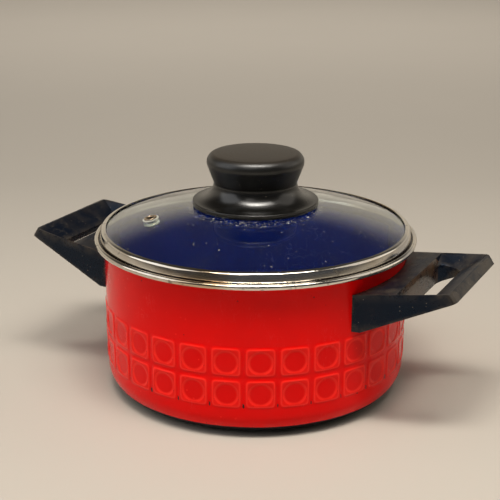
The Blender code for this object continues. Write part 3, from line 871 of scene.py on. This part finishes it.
@dataclass
class EnamelPot:
    """The pressed body: navy inside, red outside with a belt of pressed squares, black foot."""

    inner_radius: float = 0.0900
    wall: float = 0.0015
    base_corner: float = 0.0155
    ledge_thickness: float = 0.0010
    throat: float = 0.0014
    columns: int = 30
    rows: int = 2
    row_pitch: float = 0.0190
    belt_low: float = 0.0184
    first_column: float = -1.8
    steps_per_column: int = 12
    chip_low: float = -0.95
    chip_high: float = -0.60
    base_dimple: float = 0.0007
    base_dimple_radius: float = 0.062
    square: PressedSquare = field(default_factory=PressedSquare)

    @property
    def steps(self) -> int:
        """Steps round the whole pot."""
        return self.columns * self.steps_per_column

    def tile(self) -> bmesh.types.BMesh:
        """One square with half a gap round it, bent to the pot's wall at angle 0.

        Returns:
            The shape, with "edge", "disc" and "chip" numbers on its vertices.
        """
        shape = bmesh.new()
        layers = {name: shape.verts.layers.float.new(name) for name in ("edge", "disc", "chip")}
        radius = self.inner_radius + self.wall
        half_pitch = math.pi * radius / self.columns
        half_row = self.row_pitch / 2
        n = self.steps_per_column
        sides = [((-1, -1), (1, 0)), ((1, -1), (0, 1)), ((1, 1), (-1, 0)), ((-1, 1), (0, -1))]
        frame_points = [(sx + dx * 2 * i / n, sy + dy * 2 * i / n)
                        for (sx, sy), (dx, dy) in sides for i in range(n)]

        def corner(x: float, y: float, lift: float, **marks: float) -> bmesh.types.BMVert:
            """One vertex of the flat tile, bent round the wall.

            Args:
                x: place along the row.
                y: height.
                lift: height above the wall.
                marks: what its stored numbers are.

            Returns:
                The vertex.
            """
            angle = x / radius
            reach = radius + lift
            made = shape.verts.new((reach * math.cos(angle), reach * math.sin(angle), y))
            for name, value in marks.items():
                made[layers[name]] = value
            return made

        rings = [[corner(x * half_pitch, y * half_row, 0.0,
                         chip=1.0 if abs(x) == 1.0 and self.chip_low < y < self.chip_high else 0.0)
                  for x, y in frame_points]]
        for wide, high, square, drop, lift, edge, disc in self.square.loops():
            ring = []
            for x, y in frame_points:
                share = (abs(x) ** square + abs(y) ** square) ** (-1 / square)
                ring.append(corner(x * share * wide, y * share * high - drop, lift, edge=edge, disc=disc))
            rings.append(ring)
        for outer, inner in zip(rings, rings[1:]):
            for i in range(4 * n):
                j = (i + 1) % (4 * n)
                shape.faces.new((outer[i], outer[j], inner[j], inner[i]))
        low = self.square.lift - self.square.sink
        middle = corner(0.0, -self.square.round_drop, low * 0.5, disc=1.0)
        for i in range(4 * n):
            shape.faces.new((rings[-1][i], rings[-1][(i + 1) % (4 * n)], middle))
        return shape

    def belt_tree(self) -> bpy.types.NodeTree:
        """Geometry nodes that set the tile round the wall, row by row.

        Returns:
            The tree, with named inputs for its counts and sizes.
        """
        tree = bpy.data.node_groups.new("pressed_belt", "GeometryNodeTree")
        bench = Bench(tree)
        ask = tree.interface.new_socket
        ask("Geometry", in_out="INPUT", socket_type="NodeSocketGeometry")
        ask("Columns", in_out="INPUT", socket_type="NodeSocketInt")
        ask("Rows", in_out="INPUT", socket_type="NodeSocketInt")
        for name in ("Row Pitch", "Lowest Row", "First Column"):
            ask(name, in_out="INPUT", socket_type="NodeSocketFloat")
        ask("Enamel", in_out="INPUT", socket_type="NodeSocketMaterial")
        ask("Geometry", in_out="OUTPUT", socket_type="NodeSocketGeometry")
        given = bench.node("NodeGroupInput").socket.node

        def asked(name: str) -> Signal:
            """One of the tree's inputs."""
            return Signal(bench, given.outputs[name])

        index = bench.node("GeometryNodeInputIndex")
        column = index % asked("Columns")
        row = (index - column) / asked("Columns")
        height = asked("Lowest Row") + row * asked("Row Pitch")
        turn = asked("First Column") + column * (2 * math.pi) / asked("Columns")
        place = bench.node("ShaderNodeCombineXYZ", None, {2: height})
        points = bench.node("GeometryNodePoints", None, {
            "Count": asked("Columns") * asked("Rows"), "Position": place})
        set_out = bench.node("GeometryNodeInstanceOnPoints", None, {
            "Points": points, "Instance": asked("Geometry"),
            "Rotation": bench.node("ShaderNodeCombineXYZ", None, {2: turn})})
        whole = bench.node("GeometryNodeRealizeInstances", None, {0: set_out})
        finished = bench.node("GeometryNodeSetMaterial", None, {
            "Geometry": whole, "Material": asked("Enamel")})
        bench.node("NodeGroupOutput", None, {0: finished})
        return tree

    def belt(self, enamel: bpy.types.Material) -> bmesh.types.BMesh:
        """The whole belt of squares.

        Args:
            enamel: the material of its faces.

        Returns:
            The belt as one open shape.
        """
        base = as_piece("belt_tile", self.tile(), [enamel], recalculate=False)
        tree = self.belt_tree()
        step = base.modifiers.new("Belt", "NODES")
        step.node_group = tree
        values = {"Columns": self.columns, "Rows": self.rows, "Row Pitch": self.row_pitch,
                  "Lowest Row": self.belt_low + self.row_pitch / 2,
                  "First Column": math.radians(self.first_column), "Enamel": enamel}
        for item in tree.interface.items_tree:
            if item.in_out == "INPUT" and item.name in values:
                step[item.identifier] = values[item.name]
        return evaluated(base)

    def build(self, red: bpy.types.Material, navy: bpy.types.Material) -> bpy.types.Object:
        """The whole body.

        Args:
            red: outside enamel.
            navy: inside enamel.

        Returns:
            The piece.
        """
        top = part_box("pot_body")[1]
        inner, outer = self.inner_radius, self.inner_radius + self.wall
        ledge, height = top.x, top.z
        edge = self.ledge_thickness / 2
        under = height - self.ledge_thickness
        throat, corner = self.throat, self.base_corner
        start = math.radians(self.first_column) - math.pi / self.columns
        belt_high = self.belt_low + self.rows * self.row_pitch
        shape = self.belt(red)
        upper = [(outer, belt_high), (outer, belt_high + throat)]
        upper += arc((outer + throat, under - throat), (throat, throat), 180, 90, 6)
        upper += arc((ledge - edge, height - edge), (edge, edge), -90, 0, 4)
        turned(upper, self.steps, False, start, 0, shape)
        inside = arc((ledge - edge, height - edge), (edge, edge), 0, 90, 4)
        inside += arc((inner + throat, height - throat), (throat, throat), 90, 180, 6)
        inside_corner = corner - self.wall
        inside += arc((inner - inside_corner, self.wall + inside_corner), (inside_corner,) * 2, 0, -90, 14)
        dimple, dimple_radius = self.base_dimple, self.base_dimple_radius
        inside += [(dimple_radius + dimple * 3, self.wall), (dimple_radius, self.wall + dimple),
                   (0.0, self.wall + dimple)]
        turned(inside, self.steps, False, start, 1, shape)
        lower = [(outer, self.belt_low)]
        lower += arc((outer - corner, corner), (corner, corner), 0, -90, 16)
        lower += [(dimple_radius + dimple * 3, 0.0), (dimple_radius, dimple), (0.0, dimple)]
        turned(lower, self.steps, False, start, 0, shape)
        bmesh.ops.remove_doubles(shape, verts=shape.verts, dist=WELD)
        piece = as_piece("enamel_body", shape, [red, navy])
        return settle(piece, Body.POT, "enamel", "pot_body")


@dataclass
class RimBand:
    """The polished band that is rolled over the edge of the pot's ledge."""

    sheet: float = 0.0005
    half_width: float = 0.0016
    half_height: float = 0.0017
    mouth: float = 42.0
    steps: int = 320

    def build(self, steel: bpy.types.Material) -> bpy.types.Object:
        """The band.

        Args:
            steel: its material.

        Returns:
            The piece.
        """
        low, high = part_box("rim_band")
        centre = (high.x - self.half_width, (low.z + high.z) / 2)
        radii = (self.half_width - self.sheet / 2, self.half_height - self.sheet / 2)
        path = arc(centre, radii, 180 - self.mouth, self.mouth - 180, 26)
        shape = turned(bent_sheet(path, self.sheet), self.steps)
        return settle(as_piece("rolled_rim", shape, [steel]), Body.POT, "polished_steel", "rim_band")


# ---------------------------------------------------------------- handles

@dataclass
class LoopHandle:
    """A moulded handle with a finger opening in a shallow dish, screwed to a hidden lug."""

    side: Side
    pot_radius: float = 0.0915
    pot_wall: float = 0.0015
    top_at_pot: float = 0.08014
    height: float = 0.02156
    length: float = 0.04364
    rise: float = 7.9
    width_at_pot: float = 0.0865
    width_at_end: float = 0.0774
    heel: float = 0.00513
    nose_out: float = 0.00325
    nose_down: float = 0.00462
    ridge: float = 0.0013
    block: float = 0.0145
    opening_length: float = 0.015
    opening_width: float = 0.062
    opening_corner: float = 0.0050
    dish_lead: float = 0.001
    dish_start_depth: float = 0.0036
    dish_depth: float = 0.007
    left_dust_and_reflection: float = 0.35
    longest_edge: float = 0.006
    edge_round: float = 0.0007
    tip_round: float = 0.0030
    plate: tuple[float, float, float] = (0.034, 0.014, 0.0015)
    tongue: tuple[float, float, float] = (0.024, 0.010, 0.002)
    tongue_top: float = 0.0735
    pocket_top: float = 0.0774
    screw_out: float = 0.0063
    screw_hole: float = 0.00205
    seat_radius: float = 0.0043
    seat: float = 0.0675
    cutters: list[bpy.types.Object] = field(default_factory=list)

    @property
    def start(self) -> float:
        """Distance from the axis at which the handle's sides meet the wall."""
        return math.sqrt(self.pot_radius ** 2 - (self.width_at_pot / 2) ** 2)

    @property
    def end(self) -> float:
        """Distance from the axis to the end of the top face."""
        return self.pot_radius + self.length

    def half_width(self, reach: float) -> float:
        """Half the handle's width at a distance from the axis."""
        share = (reach - self.start) / (self.end - self.start)
        return (self.width_at_pot + (self.width_at_end - self.width_at_pot) * share) / 2

    def top(self, reach: float) -> float:
        """Height of the top face at a distance from the axis."""
        return self.top_at_pot + (reach - self.start) * math.tan(math.radians(self.rise))

    def cutter(self, shape: bmesh.types.BMesh, target: bpy.types.Object) -> None:
        """Cut a shape out of the handle.

        Args:
            shape: a closed shape, which is freed.
            target: the handle.
        """
        tool = as_piece("cutter", shape, [])
        step = target.modifiers.new("Cut", "BOOLEAN")
        step.operation = "DIFFERENCE"
        step.solver = "EXACT"
        step.object = tool
        self.cutters.append(tool)

    @staticmethod
    def block_between(low: Sequence[float], high: Sequence[float]) -> bmesh.types.BMesh:
        """A box between two corners.

        Args:
            low: its lowest corner.
            high: its highest corner.

        Returns:
            The shape.
        """
        shape = bmesh.new()
        bmesh.ops.create_cube(shape, size=1.0)
        bmesh.ops.scale(shape, vec=[b - a for a, b in zip(low, high)], verts=shape.verts)
        bmesh.ops.translate(shape, vec=[(a + b) / 2 for a, b in zip(low, high)], verts=shape.verts)
        return shape

    def drilled(self, radius: float, low: float, high: float) -> bmesh.types.BMesh:
        """An upright round hole on the screw's axis.

        Args:
            radius: its radius.
            low: height of its lower end.
            high: height of its upper end.

        Returns:
            The shape.
        """
        shape = turned([(0.0, low), (radius, low), (radius, high), (0.0, high)], 32, closed=False)
        bmesh.ops.translate(shape, vec=(self.pot_radius + self.screw_out, 0.0, 0.0), verts=shape.verts)
        return shape

    def wedge(self) -> bmesh.types.BMesh:
        """The plain wedge that the handle is cut from.

        Returns:
            The shape.
        """
        inside = self.start - 2 * self.pot_wall
        bottom = self.top_at_pot - self.height
        nose = (self.end + self.nose_out, self.top(self.end) - self.nose_down)
        section = [(inside, bottom), (self.start + self.heel, bottom), nose,
                   (self.end, self.top(self.end)), (inside, self.top(inside))]
        shape = bmesh.new()
        ends = [[shape.verts.new((x, sign * self.half_width(x), z)) for x, z in section]
                for sign in (-1, 1)]
        shape.faces.new(ends[0])
        shape.faces.new(reversed(ends[1]))
        count = len(section)
        for i in range(count):
            j = (i + 1) % count
            shape.faces.new((ends[0][j], ends[0][i], ends[1][i], ends[1][j]))
        tips = [edge for edge in shape.edges if {end[k] for end in ends for k in (2, 3)}
                >= set(edge.verts) and edge.verts[0].co.y * edge.verts[1].co.y > 0]
        bmesh.ops.bevel(shape, geom=tips, offset=self.tip_round, segments=5, profile=0.5,
                        affect="EDGES")
        return shape

    def opening(self) -> bmesh.types.BMesh:
        """The finger opening, right through.

        Returns:
            The shape.
        """
        x0 = self.pot_radius + self.block
        x1, half, corner = x0 + self.opening_length, self.opening_width / 2, self.opening_corner
        outline = []
        for x, y, start in ((x1 - corner, half - corner, 0), (x0 + corner, half - corner, 90),
                            (x0 + corner, corner - half, 180), (x1 - corner, corner - half, 270)):
            outline += arc((x, y), (corner, corner), start, start + 90, 8)
        shape = bmesh.new()
        low, high = ([shape.verts.new((x, y, z)) for x, y in outline]
                     for z in (self.top_at_pot - 2 * self.height, self.top_at_pot + 2 * self.height))
        shape.faces.new(low)
        shape.faces.new(reversed(high))
        for i in range(len(outline)):
            j = (i + 1) % len(outline)
            shape.faces.new((low[j], low[i], high[i], high[j]))
        return shape

    def dish(self) -> bmesh.types.BMesh:
        """The sloping dish round the opening.

        Returns:
            The shape.
        """
        x0 = self.pot_radius + self.block
        x1, half = x0 + self.opening_length, self.opening_width / 2
        shape = bmesh.new()
        for low_x, depth, high_x in ((x0, self.dish_start_depth, x0 - self.dish_lead),
                                     (x1, self.dish_depth, self.end - self.ridge)):
            for sign in (-1, 1):
                low = Vector((low_x, sign * half, self.top(low_x) - depth))
                high = Vector((high_x, sign * (self.half_width(high_x) - self.ridge), self.top(high_x)))
                past = high - low
                shape.verts.new(low - past * 0.1)
                shape.verts.new(high + past * 0.3)
        bmesh.ops.convex_hull(shape, input=shape.verts)
        return shape

    def mark_wear(self, shape: bmesh.types.BMesh) -> None:
        """Store where edges are rubbed, which the finish paints paler as wear and as a painted highlight,
        and which faces face upwards, which it paints browned and dusty as dust and as a painted
        reflection, for the finish to read.

        Args:
            shape: the handle's shape.
        """
        wear = shape.verts.layers.float.new("wear")
        dish = shape.faces.layers.float.new("dish")
        inner = shape.faces.layers.float.new("inner")
        shape.normal_update()
        for vertex in shape.verts:
            turns = [edge.calc_face_angle_signed(0.0) for edge in vertex.link_edges]
            vertex[wear] = min(1.0, max(0.0, max(turns, default=0.0)) / math.radians(25))
        opening_start = self.pot_radius + self.block
        # the left handle's upward faces get less of the dust and the painted reflection than the right's
        share = 1.0 if self.side is Side.RIGHT else self.left_dust_and_reflection
        for face in shape.faces:
            spot = face.calc_center_median()
            in_opening = (abs(spot.x - opening_start) < self.dish_lead
                          and abs(spot.y) < self.opening_width / 2 and face.normal.x > 0.8)
            # dish marks every upward face, which the finish paints browned and dusty as dust and as a
            # painted reflection of the warm backdrop
            face[dish] = share if face.normal.z > 0.3 else 0.0
            face[inner] = 1.0 if in_opening else 0.0

    def build(self, bakelite: bpy.types.Material) -> bpy.types.Object:
        """The handle.

        Args:
            bakelite: its material.

        Returns:
            The piece.
        """
        grip = as_piece("grip_blank", self.wedge(), [bakelite])
        wall = self.pot_radius + TOUCH_GAP
        low, high = self.top_at_pot - 2 * self.height, self.top_at_pot + self.height
        self.cutter(turned([(0.0, low), (wall, low), (wall, high), (0.0, high)], 240, closed=False), grip)
        self.cutter(self.opening(), grip)
        self.cutter(self.dish(), grip)
        edges = grip.modifiers.new("Edges", "BEVEL")
        edges.width = self.edge_round
        edges.segments = 3
        edges.limit_method = "ANGLE"
        edges.angle_limit = math.radians(24)
        inside = self.start - 2 * self.pot_wall
        width, tall, thick = self.plate
        middle = self.tongue_top - self.tongue[2] / 2
        gap = TOUCH_GAP
        self.cutter(self.block_between(
            (inside, -width / 2 - gap, middle - tall / 2 - gap),
            (wall + thick + gap, width / 2 + gap, middle + tall / 2 + gap)), grip)
        width, reach, thick = self.tongue
        self.cutter(self.block_between(
            (inside, -width / 2 - gap, self.tongue_top - thick - gap),
            (self.pot_radius + reach + gap, width / 2 + gap, self.pocket_top + gap)), grip)
        self.cutter(self.drilled(self.screw_hole, low, self.tongue_top), grip)
        self.cutter(self.drilled(self.seat_radius, low, self.seat), grip)
        shape = evaluated(grip)
        for tool in self.cutters:
            bpy.data.objects.remove(tool, do_unlink=True)
        bmesh.ops.remove_doubles(shape, verts=shape.verts, dist=WELD)
        bmesh.ops.triangulate(shape, faces=[f for f in shape.faces if len(f.verts) > 4])
        long_edges = [e for e in shape.edges if e.calc_length() > self.longest_edge]
        bmesh.ops.subdivide_edges(shape, use_grid_fill=True, edges=long_edges, cuts=3)
        self.mark_wear(shape)
        bmesh.ops.rotate(shape, matrix=Matrix.Rotation(math.radians(self.side.value), 3, "Z"),
                         verts=shape.verts)
        side = self.side.name.lower()
        piece = as_piece(f"{side}_grip", shape, [bakelite], sharp=30.0, recalculate=False)
        return settle(piece, Body.POT, "handle_bakelite", f"{side}_handle")


# ---------------------------------------------------------------- lid

@dataclass
class GlassLid:
    """The domed glass, the steel band round it and the steam vent."""

    sheet: float = 0.0006
    play: float = 0.0006
    inner_radius: float = 0.0900
    lip: float = 0.0022
    flange_out: float = 0.0005
    wall_lean: Point = (-0.0002, 0.00028)
    edge_round: float = 0.0007
    edge_inset: float = 0.0008
    dome_steps: int = 26
    dome_radius: float = 0.277
    glass_thickness: float = 0.0035
    bore: float = 0.0030
    vent_radius: float = 0.064
    vent_angle: float = 222.0
    vent_bore: float = 0.0022
    vent_tube: float = 0.0029
    vent_flange: float = 0.0039
    vent_washer: float = 0.0006
    vent_slack: float = 0.0001
    vent_lip: float = 0.0006
    steps: int = 320

    @property
    def datum(self) -> float:
        """Height of the ledge that the lid rests on."""
        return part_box("pot_body")[1].z

    @property
    def glass_top(self) -> float:
        """Height of the top of the glass; it is cut by the knob's hole, so it comes from the dome."""
        bore_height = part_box("lid_glass")[1].z
        return bore_height + self.dome_radius - math.sqrt(self.dome_radius ** 2 - self.bore ** 2)

    def dome(self, radius: float, depth: float = 0.0) -> float:
        """Height of the glass at a distance from the axis, a depth below its outer face."""
        sphere = self.dome_radius - depth
        return self.glass_top - self.dome_radius + math.sqrt(sphere ** 2 - radius ** 2)

    def build_band(self, steel: bpy.types.Material) -> bpy.types.Object:
        """The sheet band round the glass.

        Args:
            steel: its material.

        Returns:
            The piece.
        """
        half = self.sheet / 2
        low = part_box("lid_band")[0]
        seat = self.datum + TOUCH_GAP + half
        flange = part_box("lid_band")[1].x
        wall = flange - self.flange_out - half
        lean_in, lean_out = self.wall_lean
        skirt = self.inner_radius - self.play - half
        lip_start = wall - half - self.lip
        lip = self.dome(lip_start) + TOUCH_GAP + half
        path = rounded([
            (lip_start, lip + 0.0001, 0.0), (wall - 0.0009, lip - 0.0001, 0.0005),
            (wall + lean_in, lip - 0.0008, 0.0005), (wall + lean_out, seat + 0.0020, 0.0004),
            (wall + 0.00048, seat + 0.0008, 0.0005), (wall + 0.0001, seat, 0.0004),
            (skirt + 0.0008, seat, 0.0004), (skirt, seat - 0.0012, 0.0008),
            (skirt, low.z + half, 0.0)], 5)
        shape = turned(bent_sheet(path, self.sheet), self.steps)
        return settle(as_piece("glass_band", shape, [steel]), Body.LID, "polished_steel", "lid_band")

    def build_glass(self, glass: bpy.types.Material) -> bpy.types.Object:
        """The domed glass with its two holes.

        Args:
            glass: its material.

        Returns:
            The piece.
        """
        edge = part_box("lid_glass")[1].x
        thick = self.glass_thickness
        count = self.dome_steps
        last = edge - self.edge_inset
        radii = [self.bore + (last - self.bore) * i / count for i in range(count + 1)]
        top = [(r, self.dome(r)) for r in radii]
        bottom = [(r, self.dome(r, thick)) for r in reversed(radii)]
        round_edge = [(edge, self.dome(edge) - self.edge_round),
                      (edge, self.dome(edge, thick) + self.edge_round)]
        shape = turned(top + round_edge + bottom, self.steps)
        piece = as_piece("glass_dome", shape, [glass])
        reach = 2 * thick
        hole = turned([(0.0, -reach), (self.vent_tube + TOUCH_GAP, -reach),
                       (self.vent_tube + TOUCH_GAP, reach), (0.0, reach)], 48, closed=False)
        tool = as_piece("vent_hole", self.leaned(hole), [])
        cut = piece.modifiers.new("Vent", "BOOLEAN")
        cut.operation = "DIFFERENCE"
        cut.solver = "EXACT"
        cut.object = tool
        shape = evaluated(piece)
        bpy.data.objects.remove(tool, do_unlink=True)
        piece = as_piece("glass_dome", shape, [], recalculate=False)
        piece.data.materials.clear()
        piece.data.materials.append(glass)
        return settle(piece, Body.LID, "lid_glass", "lid_glass")

    def leaned(self, shape: bmesh.types.BMesh) -> bmesh.types.BMesh:
        """Move a shape drawn on the Z axis to the vent's place, square to the glass.

        Args:
            shape: the shape, which is moved.

        Returns:
            The same shape.
        """
        turn = math.radians(self.vent_angle)
        lean = math.asin(self.vent_radius / self.dome_radius)
        spot = Vector((self.vent_radius * math.cos(turn), self.vent_radius * math.sin(turn),
                       self.dome(self.vent_radius)))
        matrix = Matrix.Translation(spot) @ Matrix.Rotation(turn, 4, "Z") @ Matrix.Rotation(lean, 4, "Y")
        bmesh.ops.transform(shape, matrix=matrix, verts=shape.verts)
        return shape

    def build_vent(self, steel: bpy.types.Material) -> bpy.types.Object:
        """The eyelet of the steam vent, rolled over its washers.

        Args:
            steel: its material.

        Returns:
            The piece.
        """
        high = 2 * TOUCH_GAP + self.vent_slack + self.vent_washer
        low = -self.glass_thickness - high
        bore, tube, flange, lip = self.vent_bore, self.vent_tube, self.vent_flange, self.vent_lip
        section = rounded([
            (bore, low - lip, 0.0003), (bore, high + lip, 0.0006), (flange, high + lip, 0.0005),
            (flange, high, 0.0001), (tube, high, 0.0), (tube, low, 0.0), (flange, low, 0.0001),
            (flange, low - lip, 0.0003)], 5, closed=True)
        shape = self.leaned(turned(section, 64))
        return settle(as_piece("vent_rivet", shape, [steel]), Body.LID, "polished_steel", "vent_eyelet")


@dataclass
class Knob:
    """The flared skirt and the cap that is held by a screw through the glass."""

    skirt_wall: float = 0.0026
    skirt_roof: float = 0.00338
    rim_round: float = 0.0006
    foot_round: float = 0.0005
    shoulder_drop: float = 0.0058
    rim_height: float = 0.0030
    waist: float = 0.0251
    boss: float = 0.0100
    bore: float = 0.0030
    shoulder: Point = (0.0046, 0.0053)
    lip: float = 0.0028
    pocket: float = 0.0048
    steps: int = 192

    @staticmethod
    def flare(waist: float, rim: float, high: float, low: float, count: int) -> list[Point]:
        """A quarter of an ellipse that leaves the waist upright and meets the rim level.

        Args:
            waist: radius at the top.
            rim: radius at the bottom.
            high: height of the top.
            low: height of the bottom.
            count: number of steps.

        Returns:
            The points, both ends included.
        """
        turns = [math.radians(90 * i / count) for i in range(count + 1)]
        return [(rim - (rim - waist) * math.cos(t), high - (high - low) * math.sin(t)) for t in turns]

    def build_skirt(self, bakelite: bpy.types.Material) -> bpy.types.Object:
        """The flared skirt, hollow below.

        Args:
            bakelite: its material.

        Returns:
            The piece.
        """
        low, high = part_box("knob_skirt")
        rim, seat = high.x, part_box("knob_gasket_upper")[1].z + TOUCH_GAP
        rim_high = low.z + self.rim_height
        roof = high.z - self.skirt_roof
        turn, foot = self.rim_round, self.foot_round
        hollow = self.flare(self.waist - self.skirt_wall, rim - self.skirt_wall, roof, low.z + 0.0004, 10)
        outside = self.flare(self.waist, rim - turn, high.z, rim_high, 26)
        section = [(self.bore, seat), (self.bore, high.z)] + outside
        section += arc((rim - turn, rim_high - turn), (turn, turn), 80, 0, 4)
        section += arc((rim - foot, low.z + foot), (foot, foot), 0, -90, 4)
        section += arc((rim - self.skirt_wall + 0.0003, low.z + 0.0003), (0.0003, 0.0003), -90, -180, 2)
        section += list(reversed(hollow))[1:] + [(self.boss, roof), (self.boss, seat)]
        shape = turned(section, self.steps)
        return settle(as_piece("knob_flare", shape, [bakelite]), Body.LID, "knob_bakelite", "knob_skirt")

    def build_cap(self, bakelite: bpy.types.Material) -> bpy.types.Object:
        """The cap that the hand turns and lifts by.

        Args:
            bakelite: its material.

        Returns:
            The piece.
        """
        low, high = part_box("knob_grip")
        wide = high.x
        crown = high.z
        rise = self.shoulder[1]
        edge = crown - self.shoulder_drop
        pocket_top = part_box("knob_insert")[1].z + TOUCH_GAP
        section = [(0.0, crown), (wide * 0.25, crown - 0.00006)]
        section += [(wide * 0.55, (crown * 2 + edge + rise) / 3), (wide * 0.74, edge + rise + 0.00012)]
        section += arc((wide - self.shoulder[0], edge), self.shoulder, 86, 0, 14)
        section += rounded([(wide, edge - 0.0002, 0.0), (wide * 0.997, edge - self.lip * 0.5, 0.0010),
                            (wide * 0.98, edge - self.lip, 0.0009), (self.waist, low.z, 0.0)], 5)[1:]
        section += [(self.pocket, low.z), (self.pocket, pocket_top), (0.0, pocket_top)]
        shape = turned(section, self.steps, closed=False)
        return settle(as_piece("knob_cap", shape, [bakelite]), Body.LID, "knob_bakelite", "knob_grip")


# ---------------------------------------------------------------- studio

@dataclass
class Lamp:
    """A soft box: where it stands round the pot, how big it is and how strong."""

    name: str
    azimuth: float
    elevation: float
    distance: float
    size: Point
    watts: float
    colour: Colour
    aim: Colour = (0.0, 0.0, 0.08)


@dataclass
class Studio:
    """Floor, soft light and camera."""

    floor_size: float = 9.0
    camera_turn: float = 26.6
    camera_down: float = 18.1591
    camera_distance: float = 0.7164
    camera_shift: float = -0.003285
    target_height: float = 0.08184
    lens: float = 84.496
    horizon: Colour = (0.56, 0.50, 0.41)
    ceiling: Colour = (0.060, 0.054, 0.047)
    room: Colour = (0.075, 0.078, 0.085)
    lamps: tuple[Lamp, ...] = (
        Lamp("overhead", 6.0, 69.0, 1.25, (1.20, 0.40), 13.0, (1.0, 0.95, 0.88)),
        Lamp("key", 2.0, 72.0, 1.20, (0.55, 0.18), 9.5, (1.0, 0.96, 0.88)),
        Lamp("front", -16.0, 40.0, 1.60, (0.50, 0.50), 0.9, (1.0, 0.95, 0.90)),
        Lamp("left", -78.0, 32.0, 1.60, (1.40, 1.40), 8.0, (0.97, 0.98, 1.0)),
        Lamp("right", 96.0, 34.0, 1.60, (1.40, 1.40), 4.5, (1.0, 0.93, 0.84)),
        Lamp("backdrop", 180.0, 50.0, 2.00, (2.4, 0.8), 42.0, (1.0, 0.95, 0.88), (0.0, 4.5, 0.0)),
    )

    def place(self, item: bpy.types.Object, spot: Vector, target: Vector) -> None:
        """Stand an object at a spot, looking at a target.

        Args:
            item: the object.
            spot: where it stands.
            target: where it looks.
        """
        item.location = spot
        item.rotation_euler = (target - spot).to_track_quat("-Z", "Y").to_euler()
        bpy.context.scene.collection.objects.link(item)

    def build(self, paper: bpy.types.Material) -> None:
        """Make the floor, the lamps, the world and the camera.

        Args:
            paper: the floor's material.
        """
        shape = bmesh.new()
        bmesh.ops.create_grid(shape, x_segments=8, y_segments=8, size=self.floor_size / 2)
        floor = as_piece("studio_floor", shape, [paper], recalculate=False)
        world = bpy.data.worlds.new("studio")
        bpy.context.scene.world = world
        world.use_nodes = True
        world.node_tree.nodes.clear()
        bench = Bench(world.node_tree)
        across, along, up = bench.split(bench.node("ShaderNodeTexCoord", output="Generated"))
        angle = math.radians(self.camera_turn)
        behind = along * math.cos(angle) - across * math.sin(angle)
        colour = bench.blend(bench.step(behind, -0.5, 0.45), self.room, self.horizon)
        colour = bench.blend(bench.step(up, 0.24, 0.52), colour, self.ceiling)
        sky = bench.node("ShaderNodeBackground", None, {"Color": colour})
        bench.node("ShaderNodeOutputWorld", None, {"Surface": sky})
        turn = Matrix.Rotation(math.radians(self.camera_turn), 4, "Z")
        middle = Vector((0.0, 0.0, self.target_height))
        for lamp in self.lamps:
            data = bpy.data.lights.new(lamp.name, "AREA")
            data.shape = "RECTANGLE"
            data.size, data.size_y = lamp.size
            data.energy = lamp.watts
            data.color = lamp.colour
            azimuth, up = math.radians(lamp.azimuth), math.radians(lamp.elevation)
            back = Vector((math.sin(azimuth) * math.cos(up), -math.cos(azimuth) * math.cos(up),
                           math.sin(up)))
            self.place(bpy.data.objects.new(lamp.name, data), turn @ (middle + back * lamp.distance),
                       turn @ Vector(lamp.aim))
        data = bpy.data.cameras.new("camera")
        data.sensor_width = 36.0
        data.lens = self.lens
        down = math.radians(self.camera_down)
        spot = Vector((self.camera_shift, -self.camera_distance * math.cos(down),
                       self.target_height + self.camera_distance * math.sin(down)))
        camera = bpy.data.objects.new("camera", data)
        self.place(camera, turn @ spot, turn @ Vector((self.camera_shift, 0.0, self.target_height)))
        bpy.context.scene.camera = camera


def main() -> None:
    """Build the pot, its handles, the lid and the studio in order."""
    bpy.context.scene.view_settings.view_transform = "Standard"
    steel = TurnedSteel("polished_steel").material()
    bakelite = WornBakelite("worn_bakelite").material()
    knob_bakelite = TurnedBakelite("knob_bakelite").material()
    plate = Metal("zinc_plate").material()
    rubber = Silicone("silicone").material()
    EnamelPot().build(RedEnamel("red_enamel").material(), NavyEnamel("navy_enamel").material())
    RimBand().build(steel)
    for side in Side:
        LoopHandle(side).build(bakelite)
        name = side.name.lower()
        dress_nodes(plate, *(f"{name}_handle_{part}" for part in ("lug", "screw", "washer", "nut")))
    lid = GlassLid()
    lid.build_band(steel)
    lid.build_glass(LidGlass("clear_glass").material())
    lid.build_vent(steel)
    knob = Knob()
    knob.build_skirt(knob_bakelite)
    knob.build_cap(knob_bakelite)
    dress_nodes(rubber, "vent_washer_top", "vent_washer_bottom", "knob_gasket_upper", "knob_gasket_lower")
    dress_nodes(Metal("insert_brass", (0.62, 0.43, 0.16), (0.30, 0.20, 0.09)).material(), "knob_insert")
    dress_nodes(plate, "knob_screw", "knob_washer")
    Studio().build(Paper("studio_paper").material())


if __name__ == "__main__":
    logging.basicConfig(level=logging.INFO, format="%(name)s: %(message)s")
    main()
